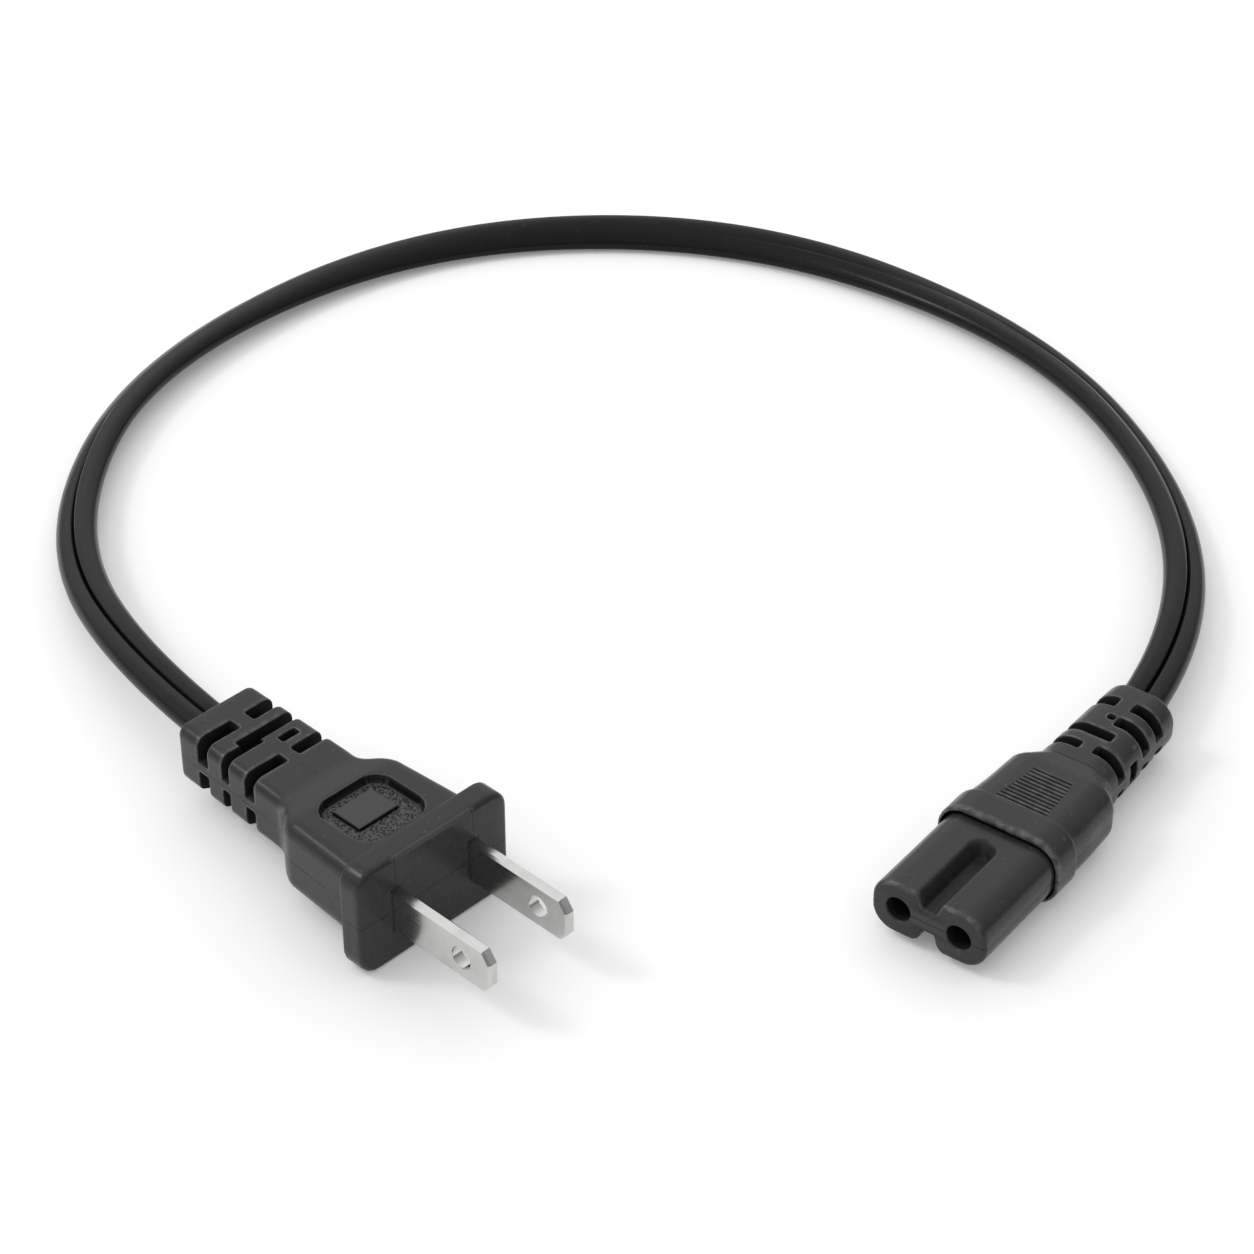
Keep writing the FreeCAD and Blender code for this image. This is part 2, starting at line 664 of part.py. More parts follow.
# Socket contacts and their wires, in the connector's own frame
sleeve_back = "mouth_depth + sleeve_length"
barrel_front = sleeve_back + " + sleeve_stop"
connector_barrel_front = size("mouth_depth") + size("sleeve_length") + size("sleeve_stop")
connector_lead_front = connector_barrel_front + size("barrel_length") + size("strip_gap")
placed = []
connector_inner = []
mouths = []
for end, side in SIDES.items():
    middle = "socket_spacing / 2" if side > 0 else "0 - socket_spacing / 2"
    sleeve = rod("contact_%s_sleeve" % end, "sleeve_dia", "0 - ( %s )" % barrel_front, "0 - mouth_depth", middle)
    barrel = rod(
        "contact_%s_barrel" % end, "barrel_dia", "0 - ( %s + barrel_length )" % barrel_front,
        "0 - ( %s ) + sleeve_stop / 2" % barrel_front, middle)
    bore = rod("contact_%s_bore" % end, "sleeve_bore", "0 - ( %s )" % sleeve_back, "0", middle)
    mouths.append(rod("mouth_" + end, "mouth_dia", "0 - ( %s )" % sleeve_back, "cut_reach", middle))
    strands, lead = wire_pair(
        "connector_" + end, side, -connector_barrel_front, -connector_lead_front, "connector",
        size("socket_spacing") / 2, -size("connector_cord_end"))
    envelope = fuse("contact_%s_whole" % end, [sleeve, barrel])
    placed.append(cut("contact_" + end, envelope, fuse("contact_%s_hollow" % end, [bore, strands])))
    placed.append(cut("connector_lead_" + end, lead, strands))
    placed.append(solid("connector_strands_" + end, strands.Shape.copy()))
    connector_inner += [envelope, lead, strands]
nose_hollow = fuse("nose_hollow", connector_inner + mouths)
placed.append(cut("connector_nose", nose_body, nose_hollow))

# Finished connector moulding
connector_seat = cord_core("connector_seat", "connector_cord_end", "connector_length + cut_reach", "0")
pinhole = box(
    "pinhole", "0 - connector_row_rear - pinhole_side / 2", "0 - connector_row_rear + pinhole_side / 2",
    "0 - pinhole_side", "pinhole_side / 4", "sleeve_end_height / 2 - eye_depth", "cut_reach")
filling = fuse("connector_filling", connector_inner + [nose_body, connector_seat])
trimmings = fuse("connector_trimmings", rib_cuts + [connector_cutters, moat_body, pinhole])
placed.append(cut("connector_overmould", cut("connector_trimmed", connector_skin, trimmings), filling))

# The connector lies on the same floor as the plug's flange
floor = -size("flange_height") / 2
spot = Vector(size("connector_x"), size("connector_y"), floor + size("collar_height") / 2)
connector_place = Placement(spot, Rotation(Vector(0, 0, 1), size("connector_yaw")))
for node in placed:
    if node.TypeId == "Part::Feature":
        node.Placement = connector_place
        continue
    place(node, "connector_x", "connector_y", "collar_height / 2 - flange_height / 2")
    node.setExpression("Placement.Rotation.Angle", bind("connector_yaw * 1 deg"))
nodes += placed

# Flat twin cord from the plug's inner end to the connector's inner end
lying = floor + size("cord_thick") / 2
inner_end = size("plug_cord_end")
points = [(-inner_end, 0, 0), (-inner_end - size("plug_end_run"), 0, 0)]
points += [(x, y, lying + lift) for x, y, lift in ROUTE]
inner_end = size("connector_cord_end")
for back in (inner_end + size("connector_end_run"), inner_end):
    points.append(tuple(connector_place.multVec(Vector(-back, 0, 0))))
route, radii = bent_path(points)
outline = flat_section(Vector(*points[0]), Vector(-1, 0, 0), size("cord_width"), size("cord_thick"))
sweep = Part.BRepOffsetAPI.MakePipeShell(route)
sweep.setBiNormalMode(Vector(0, 0, 1))
sweep.add(outline)
sweep.build()
sweep.makeSolid()
cord = solid("cord", sweep.shape())
nodes.append(cord)
print("cord radii", radii)
print("cord length", round(route.Length, 1), "volume", round(cord.Shape.Volume, 1),
      "section x length", round(Part.Face(outline).Area * route.Length, 1))

# Finished check, then one file for each piece
doc.recompute()
for item in doc.Objects:
    if "Invalid" in item.State or "Error" in item.State:
        raise RuntimeError("failed: " + item.Name)
    if item.TypeId == "Sketcher::SketchObject" and not item.FullyConstrained:
        raise RuntimeError("sketch is not fully constrained: " + item.Name)
for node in nodes:
    if node.Shape.isNull() or not node.Shape.isValid() or len(node.Shape.Solids) != 1:
        raise RuntimeError("bad shape: " + node.Label)
os.makedirs("parts", exist_ok=True)
for node in nodes:
    node.Shape.exportStep("parts/%s.step" % node.Label)
    print(node.Label, round(node.Shape.Volume, 2))
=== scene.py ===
import math
import bmesh
import bpy
import numpy as np
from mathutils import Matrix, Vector, geometry


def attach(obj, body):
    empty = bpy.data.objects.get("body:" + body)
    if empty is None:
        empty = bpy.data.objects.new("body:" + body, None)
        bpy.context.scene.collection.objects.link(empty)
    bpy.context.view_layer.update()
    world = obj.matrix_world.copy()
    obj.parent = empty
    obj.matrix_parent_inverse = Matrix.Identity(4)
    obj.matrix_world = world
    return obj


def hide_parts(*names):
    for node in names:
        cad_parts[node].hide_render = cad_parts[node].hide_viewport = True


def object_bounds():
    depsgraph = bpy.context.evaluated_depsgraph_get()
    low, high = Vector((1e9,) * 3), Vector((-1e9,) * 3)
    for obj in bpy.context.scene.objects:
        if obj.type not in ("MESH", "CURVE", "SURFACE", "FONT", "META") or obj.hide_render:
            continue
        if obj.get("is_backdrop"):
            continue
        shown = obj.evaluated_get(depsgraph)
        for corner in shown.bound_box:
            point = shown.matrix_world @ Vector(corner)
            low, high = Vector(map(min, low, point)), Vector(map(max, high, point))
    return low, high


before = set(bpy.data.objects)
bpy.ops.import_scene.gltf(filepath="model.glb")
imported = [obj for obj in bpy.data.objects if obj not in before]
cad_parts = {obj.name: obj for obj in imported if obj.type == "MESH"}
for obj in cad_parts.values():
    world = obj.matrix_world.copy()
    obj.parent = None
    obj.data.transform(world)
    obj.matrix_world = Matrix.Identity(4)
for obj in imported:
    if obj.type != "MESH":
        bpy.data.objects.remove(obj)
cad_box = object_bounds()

# All lengths are in millimetres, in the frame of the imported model, apart from those said to be in metres
MM = 0.001
FLOOR = -7.85

# Camera fitted to the photograph, angles in degrees
CAMERA_AZIMUTH = 44.19
CAMERA_ELEVATION = 36.63
CAMERA_DISTANCE = 465.65
CAMERA_TARGET = (-26.97, 60.90, FLOOR)
CAMERA_LENS = 97.61
CAMERA_SENSOR = 36.0

# Floor's half side and the softbox's place, aim and size, in metres, and the strength of each light
FLOOR_REACH = 20.0
FLOOR_GLOW = 0.15
SKY_STRENGTH = 1.18
SOFTBOX_PLACE = (-0.85, -0.62, 1.12)
SOFTBOX_AIM = (-0.03, 0.06, 0.0)
SOFTBOX_SIZE = 0.36
SOFTBOX_POWER = 3.6

# Meshes: least distance between rings or columns, steps to each side of an edge, and what counts as far off
LEAST_GAP = 0.04
EDGE_STEPS = (0.0, 0.05, 0.12, 0.22)
LOW_EDGE_STEPS = (0.05, 0.2)
EDGE_CLEAR = 0.3
ROUND_STEPS = 6
FAR = 9.0

# Cord: its section, with the groove on one face and the hollow on the other
CORD_WIDTH = 6.1
CORD_THICK = 3.3
CORD_CROWN = 0.3
CORD_HOLLOW = 0.28
CORD_GROOVE_HALF = 0.3
CORD_GROOVE_RAMP = 0.26
CORD_GROOVE_WALL = 0.65
CORD_GROOVE_DEPTH = 1.05
CORD_SHARP = 60.0

# Cord's route: points, the outward tilt of its grooved face there, and how far it is grooved
ROUTE = [
    (-25.5, 0.45, 0.0, 0.0, 1.0),
    (-55.0, 0.6, 0.0, 0.0, 1.0),
    (-97.4, 17.6, -5.4, 24.0, 1.0),
    (-124.3, 55.6, -5.4, 28.0, -0.5),
    (-122.5, 110.9, -5.65, -18.0, 0.0),
    (-85.9, 149.1, -5.45, -38.0, 0.0),
    (-32.0, 156.5, -5.6, 14.0, 0.45),
    (12.6, 135.1, -5.35, 32.0, 1.0),
    (37.9, 98.5, -2.9, 10.0, 1.0),
    (40.76, 74.10, -2.9, 0.0, 1.0),
]
ROUTE_STEPS = 22
EVENED_OVER = 25

# Connector: middle of its face and the way it points
CONNECTOR_PLACE = (45.4, 38.4, -2.9)
CONNECTOR_YAW = 277.4

# Plug moulding: half width, half height and corner at stations behind the mating face
FLANGE = (12.2, 7.85, 2.6)
FLANGE_THICK = 3.6
FLANGE_EDGE = 0.7
FACE_INSETS = (5.5, 2.5)
FACE_CORNER = 0.6
PLUG_STATIONS = [
    (-46.0, 6.23, 4.33, 1.5),
    (-41.2, 6.3, 4.35, 1.5),
    (-20.5, 6.6, 4.4, 1.5),
    (-17.0, 9.4, 5.4, 2.0),
    (-3.6, 10.2, 5.55, 2.0),
    (2.0, 10.5, 5.6, 2.0),
]
PLUG_BLUR = 1.3
PLUG_TAIL = -41.8
PLUG_FLAT = 6.0

# Rings of the plug: along the flange, from the flange into the block, and in spans of even steps
FLANGE_RINGS = (-1.2, -1.9, -2.6)
FLANGE_BLEND = [
    (0.4, 0.0), (0.25, 0.01), (0.13, 0.045), (0.05, 0.11), (0.0, 0.22),
    (-0.02, 0.5), (-0.04, 0.8), (-0.1, 0.92), (-0.22, 0.98), (-0.4, 1.0),
]
PLUG_SPANS = [(-5.1, -4.4, 0.6), (-17.0, -5.4, 0.24), (-23.6, -17.0, 0.35), (-40.2, -23.6, 0.6)]

# Sideways lean of the soft relief, which follows the pull of the cord
LEAN = [(-46.0, 1.04), (-23.0, 0.38), (-17.0, 0.0), (0.0, 0.0)]

# Slots of the plug's relief: rear and front edge, side, and how far inward they reach from the middle
PLUG_SLOTS = [
    (-37.75, -35.75, 1, 1.58),
    (-37.75, -35.75, -1, 0.69),
    (-33.9, -32.1, 1, -3.2),
    (-32.9, -31.45, -1, 0.35),
    (-28.2, -26.4, 1, 1.23),
    (-28.2, -26.4, -1, 0.63),
]
PLUG_RELIEF = (-39.0, -23.0)
SLOT_RIB = 0.75
SLOT_CORNER = 0.3
CORE_HALF = 1.4
CORE_RADIUS = 2.3
CORE_LEAST = 0.25
EYE = (-30.85, -29.66, 1.31, 4.11)
EYE_CORNER = 0.3
EYE_DEPTH = 1.2

# Rear end of both reliefs, with steps and clearances of the hole in which the cord disappears
TAIL_EDGE = 0.8
TAIL_BLUR = 0.1
TAIL_HOLE = ((0.0, 0.2), (2.0, 0.1))

# Recess in the plug's top, and the bare plate in it
RECESS = (-16.5, -5.9, -5.45, 5.65)
RECESS_SPAN = (-17.2, -5.2)
RECESS_CORNER = 2.9
RECESS_DEPTH = 1.05
RECESS_LIP = 0.18
RECESS_WALL = 0.4
PLATE = (-14.65, -9.7, -3.3, 3.1)
PLATE_CORNER = 0.15
PLATE_RISE = 0.4
PLATE_STEPS = (0.04, 0.14)

# Blades where they leave the face, and the dashed line along the neck
BLADE_OFFSET = 6.35
BLADE_HALF_THICK = 0.78
BLADE_HALF_WIDTH = 3.2
NECK_MIDDLE = -23.6
NECK_HALF = 2.0
NECK_SEAM = 0.45

# Connector moulding, in its own frame
COLLAR = (8.8, 4.95, 4.2)
COLLAR_FACE = -15.8
COLLAR_END = -20.4
COLLAR_EDGE = 0.4
# Length along the collar's front that gets a painted highlight
COLLAR_HIGHLIGHT = 0.45
CONNECTOR_STATIONS = [
    (-55.0, 4.9, 4.0, 3.6),
    (-50.5, 5.0, 4.05, 3.6),
    (-33.2, 5.55, 4.2, 3.6),
    (-30.4, 7.75, 4.65, 3.6),
    (-20.4, 8.15, 4.75, 3.6),
    (-14.0, 8.4, 4.8, 3.6),
]
CONNECTOR_BLUR = 0.4
CONNECTOR_TAIL = -51.3
CONNECTOR_FLAT = 4.2
CONNECTOR_LEAN = [(-55.0, 0.0), (-46.0, 0.0), (-32.0, 0.22), (-24.0, 0.2), (-20.0, -0.1), (0.0, -0.1)]
CONNECTOR_LEAN_BLUR = 0.8
CONNECTOR_FOLD = -33.1
FOLD_STEPS = (0.0, 0.08, 0.2)

# Rings of the connector: the gap round the nose, the ones with painted shade first, the collar, and spans of
# even steps
GAP_RINGS = [(-1.2, 0.3), (-1.2, -0.4), (-0.15, -0.4), (-0.04, -0.44), (0.0, -0.52)]
PAINTED_SHADE_RINGS = 3
COLLAR_RINGS = (-16.9, -17.8, -18.7, -19.4)
COLLAR_BLEND = [
    (0.6, 0.0), (0.38, 0.02), (0.2, 0.09), (0.08, 0.22), (0.0, 0.45),
    (-0.06, 0.7), (-0.15, 0.88), (-0.28, 0.97), (-0.4, 1.0),
]
CONNECTOR_SPANS = [(-34.6, -28.4, 0.3), (-49.6, -34.6, 0.6)]

# Slots, side windows and pinhole of the connector's relief
CONNECTOR_SLOTS = [
    (-47.9, -46.0, 1, 0.8),
    (-47.8, -45.75, -1, 1.3),
    (-44.2, -42.3, 1, 0.45),
    (-40.75, -39.0, -1, -1.95),
    (-37.4, -35.65, 1, 1.11),
    (-37.1, -35.5, -1, 0.78),
]
CONNECTOR_RELIEF = (-48.5, -34.0)
CONNECTOR_WINDOWS = [(-40.8, -39.0, 1), (-44.1, -42.3, -1)]
WINDOW_HALF = 1.6
WINDOW_CORNER = 0.15
WINDOW_DEPTH = 1.4
PINHOLE = (-44.2, -43.1, -1.0, 0.1)
PINHOLE_CORNER = 0.4
PINHOLE_DEPTH = 1.0
PINHOLE_LIP = 0.15

# Fine grip lines on the connector's top and underside
GRIP_LINES = 11
GRIP_FIRST = -21.0
GRIP_LAST = -28.0
GRIP_MARGIN = 0.4
GRIP_HALF = (3.55, 2.75)
GRIP_DEPTH = 0.3
GRIP_LINE_HALF = 0.17
GRIP_LINE_RAMP = 0.11
GRIP_STEPS = (-GRIP_LINE_HALF, -0.06, 0.06, GRIP_LINE_HALF)

# Hard nose of the connector, with a key groove on both faces; the lower one is narrower, with round lips
NOSE = (8.1, 3.85, 3.2)
NOSE_BACK = -18.4
NOSE_EDGE = 0.55
NOSE_STEP = 0.15
GROOVE_END = -13.7
GROOVE_HALF = 2.05
GROOVE_DEPTH = 2.2
GROOVE_RAMP = 1.4
GROOVE_REACH = 2.4
LOW_GROOVE_HALF = 1.55
LOW_GROOVE_RAMP = 0.9
LOW_GROOVE_LIP = 0.5
SOCKET_OFFSET = 4.3
MOUTH_RADIUS = 1.7
MOUTH_DEPTH = 13.4
MOUTH_SIDES = 44

# Light that plastic throws back off its surface
SPECULAR = 0.26
CORD_SPECULAR = 0.14

# Moulded plastic: tones as shares of its own grey, among them those of painted highlights and painted shade,
# and heights of its relief
HIGHLIGHT_TONE = 4.0
RIDGE_HIGHLIGHT_TONE = 3.6
GRAIN_TONE = 1.7
SEAM_TONE = 0.05
PAINTED_SHADE_TONE = 0.02
PIT_SHADE_LEVEL = 0.0005
GRAIN_HEIGHT = 0.006
STIPPLE_HEIGHT = 0.12
SEAM_DEPTH = 0.03


# Mesh helpers

def in_row(points):
    """Moves points from the connector's own frame to the row frame."""
    turn = math.radians(CONNECTOR_YAW)
    points = np.asarray(points, float)
    x = CONNECTOR_PLACE[0] + points[:, 0] * math.cos(turn) - points[:, 1] * math.sin(turn)
    y = CONNECTOR_PLACE[1] + points[:, 0] * math.sin(turn) + points[:, 1] * math.cos(turn)
    return np.stack([x, y, points[:, 2] + CONNECTOR_PLACE[2]], axis=1)


def new_piece(name, points, faces, node, material, sharp=38.0, marks=None):
    """Smooth mesh piece that rides on the body and stands for a node; marks are values at its points."""
    mesh = bpy.data.meshes.new(name)
    mesh.from_pydata((np.asarray(points) * MM).tolist(), [], faces)
    for key, values in (marks or {}).items():
        layer = mesh.attributes.new(key, "FLOAT", "POINT")
        layer.data.foreach_set("value", np.asarray(values, np.float32))
    work = bmesh.new()
    work.from_mesh(mesh)
    bmesh.ops.recalc_face_normals(work, faces=work.faces)
    work.to_mesh(mesh)
    work.free()
    mesh.shade_smooth()
    mesh.set_sharp_from_angle(angle=math.radians(sharp))
    mesh.materials.append(material)
    piece = bpy.data.objects.new(name, mesh)
    bpy.context.scene.collection.objects.link(piece)
    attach(piece, "root")
    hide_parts(node)
    return piece


def tube_faces(rings, count):
    """Quads between closed rings that follow each other, with a cap at both ends."""
    faces = []
    for ring in range(rings - 1):
        low = ring * count
        high = low + count
        for index in range(count):
            after = (index + 1) % count
            faces.append((low + index, low + after, high + after, high + index))
    faces.append(tuple(range(count)))
    faces.append(tuple(range((rings - 1) * count, rings * count)))
    return faces


def swept(rows, rings):
    """Points and faces of rings set at their rows' places, and the marks at these points."""
    outlines, painted_shade, painted_edge_highlight = zip(*rings)
    points = [np.column_stack([np.full(len(ring), row[0]), ring]) for row, ring in zip(rows, outlines)]
    marks = {"painted_shade": np.concatenate(painted_shade), "painted_edge_highlight": np.concatenate(painted_edge_highlight)}
    return np.concatenate(points), tube_faces(len(rows), len(points[0])), marks


def smooth(value, low, high):
    """Soft rise from zero to one between two values."""
    share = np.clip((value - low) / (high - low), 0, 1)
    return share * share * (3 - 2 * share)


def even(half, step):
    """Even ways from one side of the middle to the other."""
    return list(np.arange(-half, half + 0.01, step))


def in_spans(spans):
    """Places in spans, each with its first place, its end and its step."""
    return [place for first, end, step in spans for place in np.arange(first, end, step)]


def spaced(values):
    """Sorted values with none closer than the least distance."""
    kept = []
    for value in sorted(values):
        if not kept or value - kept[-1] >= LEAST_GAP:
            kept.append(float(value))
    return kept


def around(places, steps=EDGE_STEPS):
    """Values close to each side of the given places."""
    found = []
    for place in places:
        for step in steps:
            found += [place - step, place + step]
    return found


def columns(fixed_top, fixed_low, spread_top, spread_low, ends, inner):
    """Ring columns: fixed ways from the middle, a spread, and ways from the parting line."""
    found = []
    for half, fixed, spread in ((1, fixed_top, spread_top), (-1, fixed_low, spread_low)):
        line = [(0, value) for value in sorted(fixed)]
        outer = [(1, share) for share in np.linspace(0, 1, spread)] + [(2, way) for way in ends]
        left = [(kind, value, 1) for kind, value in outer]
        right = [(kind, value, -1) for kind, value in reversed(outer)]
        whole = right + [(kind, value, 0) for kind, value in line] + left
        # The parting line belongs to the upper half alone
        ordered = whole[::-1] if half > 0 else whole[1:-1]
        found += [(kind, value, side, half) for kind, value, side in ordered]
    kind, value, side, half = (np.array(items) for items in zip(*found))
    return {"kind": kind, "value": value, "side": side, "half": half, "inner": inner, "outer": max(ends)}


def reach(width, height, corner):
    """Way along the outline from the top's middle to the parting line."""
    return width + height - 2 * corner + corner * math.pi / 2


def ways(cols, whole):
    """Signed way of each column from the middle of the top or the underside."""
    least = cols["inner"] + cols["outer"] + 1.0
    base = max(whole, least)
    spread = cols["inner"] + cols["value"] * (base - cols["outer"] - 0.25 - cols["inner"]) + 0.12
    end = base - cols["value"]
    signed = np.choose(cols["kind"], [cols["value"], cols["side"] * spread, cols["side"] * end])
    return signed * whole / base


def outline(cols, width, height, corner):
    """Points and normals of a rounded rectangle of half sizes at each column, and the columns' ways."""
    way = ways(cols, reach(width, height, corner))
    size = np.abs(way)
    flat = width - corner
    arc = corner * math.pi / 2
    turn = np.clip((size - flat) / corner, 0, math.pi / 2)
    down = np.maximum(size - flat - arc, 0)
    y = np.minimum(size, flat) + corner * np.sin(turn)
    z = height - corner + corner * np.cos(turn) - down
    side = np.where(way < 0, -1, 1)
    points = np.stack([y * side, z * cols["half"]], axis=1)
    normals = np.stack([np.sin(turn) * side, np.cos(turn) * cols["half"]], axis=1)
    return points, normals, way


def between(table, x, column, blur):
    """Value at x between the rows of a table, with its corners rounded off over a length."""
    table = np.array(table)
    return float(np.mean(np.interp(x + np.linspace(-blur, blur, 13), table[:, 0], table[:, column])))


def section(stations, x, blur):
    """Half sizes at x between stations whose corners are rounded off over a length."""
    return tuple(between(stations, x, column, blur) for column in (1, 2, 3))


def box_distance(x, s, x_low, x_high, s_low, s_high, corner):
    """Signed distance to a rounded box, negative inside."""
    across = np.abs(x - (x_low + x_high) / 2) - (x_high - x_low) / 2 + corner
    along = np.abs(s - (s_low + s_high) / 2) - (s_high - s_low) / 2 + corner
    outside = np.hypot(np.maximum(across, 0), np.maximum(along, 0))
    return outside + np.minimum(np.maximum(across, along), 0) - corner


def sunk(distance, depth, lip=0.2, wall=0.05):
    """Depth of a cut at a signed distance from its edge: a round lip, then a wall."""
    near = np.clip(distance / lip, 0, 1)
    rounding = lip - lip * np.sqrt(np.maximum(1 - (1 - near) ** 2, 0))
    return rounding + (depth - lip) * smooth(-distance, 0, wall)


def slot_distance(x, way, whole, slots):
    """Signed distance to the nearest of a relief's slots at one ring, negative inside."""
    found = np.full(len(way), FAR)
    for x_low, x_high, side, inward in slots:
        slot = box_distance(x, way * side, x_low, x_high, inward, whole - SLOT_RIB, SLOT_CORNER)
        found = np.minimum(found, slot)
    return found


def cut_to_core(ring, distance):
    """Sinks the points of a ring that lie in a slot down to the round-ended core along the cord."""
    middle = np.column_stack([np.clip(ring[:, 0], -CORE_HALF, CORE_HALF), np.zeros(len(ring))])
    outward = ring - middle
    length = np.maximum(np.linalg.norm(outward, axis=1), CORE_RADIUS + CORE_LEAST)
    depth = sunk(distance, length - CORE_RADIUS)
    return ring - outward * (depth / length)[:, None], depth


def lip_highlight(distance):
    """Painted highlight along the lip of a cut."""
    return smooth(0.17 - np.abs(distance - 0.13), 0.0, 0.12)


def painted_shade_mark(depth):
    """Painted shade in a cut, from just under its lip."""
    return smooth(depth, 0.08, 0.24)


def shrunk(sizes, amount):
    """Half sizes and corner, each less an amount."""
    return tuple(value - amount for value in sizes)


def blended(first, second, share):
    """Half sizes and corner between two sections."""
    return tuple(a + (b - a) * share for a, b in zip(first, second))


def stadium(width, height):
    """Half sizes and corner of a round-ended section."""
    return (width, height, height - 0.01)


def front_edge(face, sizes, radius):
    """Rings of a rounded edge from a front face back to the full section."""
    rows = []
    for turn in np.linspace(0, math.pi / 2, ROUND_STEPS):
        rows.append((face - radius * (1 - math.cos(turn)), *shrunk(sizes, radius * (1 - math.sin(turn)))))
    return rows


# Material helpers

def new_material(name):
    """Material with its node tree, its shader and the place on the object."""
    material = bpy.data.materials.new(name)
    material.use_nodes = True
    tree = material.node_tree
    shader = tree.nodes["Principled BSDF"]
    place = tree.nodes.new("ShaderNodeTexCoord").outputs["Object"]
    return material, tree, shader, place


def put(tree, kind, inputs, output=0, **settings):
    """New node with its settings and inputs; gives one of its outputs."""
    item = tree.nodes.new("ShaderNode" + kind)
    for key, value in settings.items():
        setattr(item, key, value)
    for key, value in inputs.items():
        if isinstance(value, bpy.types.NodeSocket):
            tree.links.new(value, item.inputs[key])
        else:
            item.inputs[key].default_value = value
    return item.outputs[output]


def math_node(tree, operation, first, second=0.0):
    return put(tree, "Math", {0: first, 1: second}, operation=operation)


def times(tree, first, second):
    return math_node(tree, "MULTIPLY", first, second)


def either(tree, first, second):
    return math_node(tree, "MAXIMUM", first, second)


def spread_to(tree, value, low, high, first, last):
    """Soft change from a first to a last value while another goes from low to high."""
    inputs = {"Value": value, "From Min": low, "From Max": high, "To Min": first, "To Max": last}
    return put(tree, "MapRange", inputs, interpolation_type="SMOOTHSTEP")


def past(tree, value, low, high, most=1.0):
    """Rise from zero to the most between two places along a coordinate."""
    return spread_to(tree, value, low * MM, high * MM, 0.0, most)


def noise(tree, place, scale, detail=3.0):
    return put(tree, "TexNoise", {"Vector": place, "Scale": scale, "Detail": detail})


def attribute(tree, name):
    return put(tree, "Attribute", {}, output="Fac", attribute_name=name)


def axes_of(tree, vector):
    """The three coordinates of a vector."""
    item = tree.nodes.new("ShaderNodeSeparateXYZ")
    tree.links.new(vector, item.inputs[0])
    return item.outputs["X"], item.outputs["Y"], item.outputs["Z"]


def mixed(tree, share, first, second):
    """Blend of two colours."""
    return put(tree, "Mix", {0: share, 6: first, 7: second}, output=2, data_type="RGBA")


def grey(level, tint=0.0):
    return (level, level, level + tint, 1.0)


def away(tree, value, middle):
    """Distance of a coordinate from a place."""
    return math_node(tree, "ABSOLUTE", math_node(tree, "SUBTRACT", value, middle * MM))


def narrow_line(tree, value, middle, half, soft):
    """One on a thin line where a coordinate has a value, zero away from it."""
    return spread_to(tree, away(tree, value, middle), half * MM, (half + soft) * MM, 1.0, 0.0)


def box_edge(tree, x, y, box, corner):
    """Distance in millimetres from the edge of a rounded box in plan, negative inside."""
    x_low, x_high, y_low, y_high = box
    offs = []
    for value, low, high in ((x, x_low, x_high), (y, y_low, y_high)):
        off = times(tree, away(tree, value, (low + high) / 2), 1 / MM)
        offs.append(math_node(tree, "SUBTRACT", off, (high - low) / 2 - corner))
    squares = [math_node(tree, "POWER", either(tree, off, 0.0), 2.0) for off in offs]
    outside = math_node(tree, "SQRT", math_node(tree, "ADD", *squares))
    inside = math_node(tree, "MINIMUM", either(tree, *offs), 0.0)
    return math_node(tree, "SUBTRACT", math_node(tree, "ADD", outside, inside), corner)


def band(tree, value, low, high, soft):
    """One between two values, with soft ends."""
    rise = spread_to(tree, value, low, low + soft, 0.0, 1.0)
    return times(tree, rise, spread_to(tree, value, high - soft, high, 1.0, 0.0))


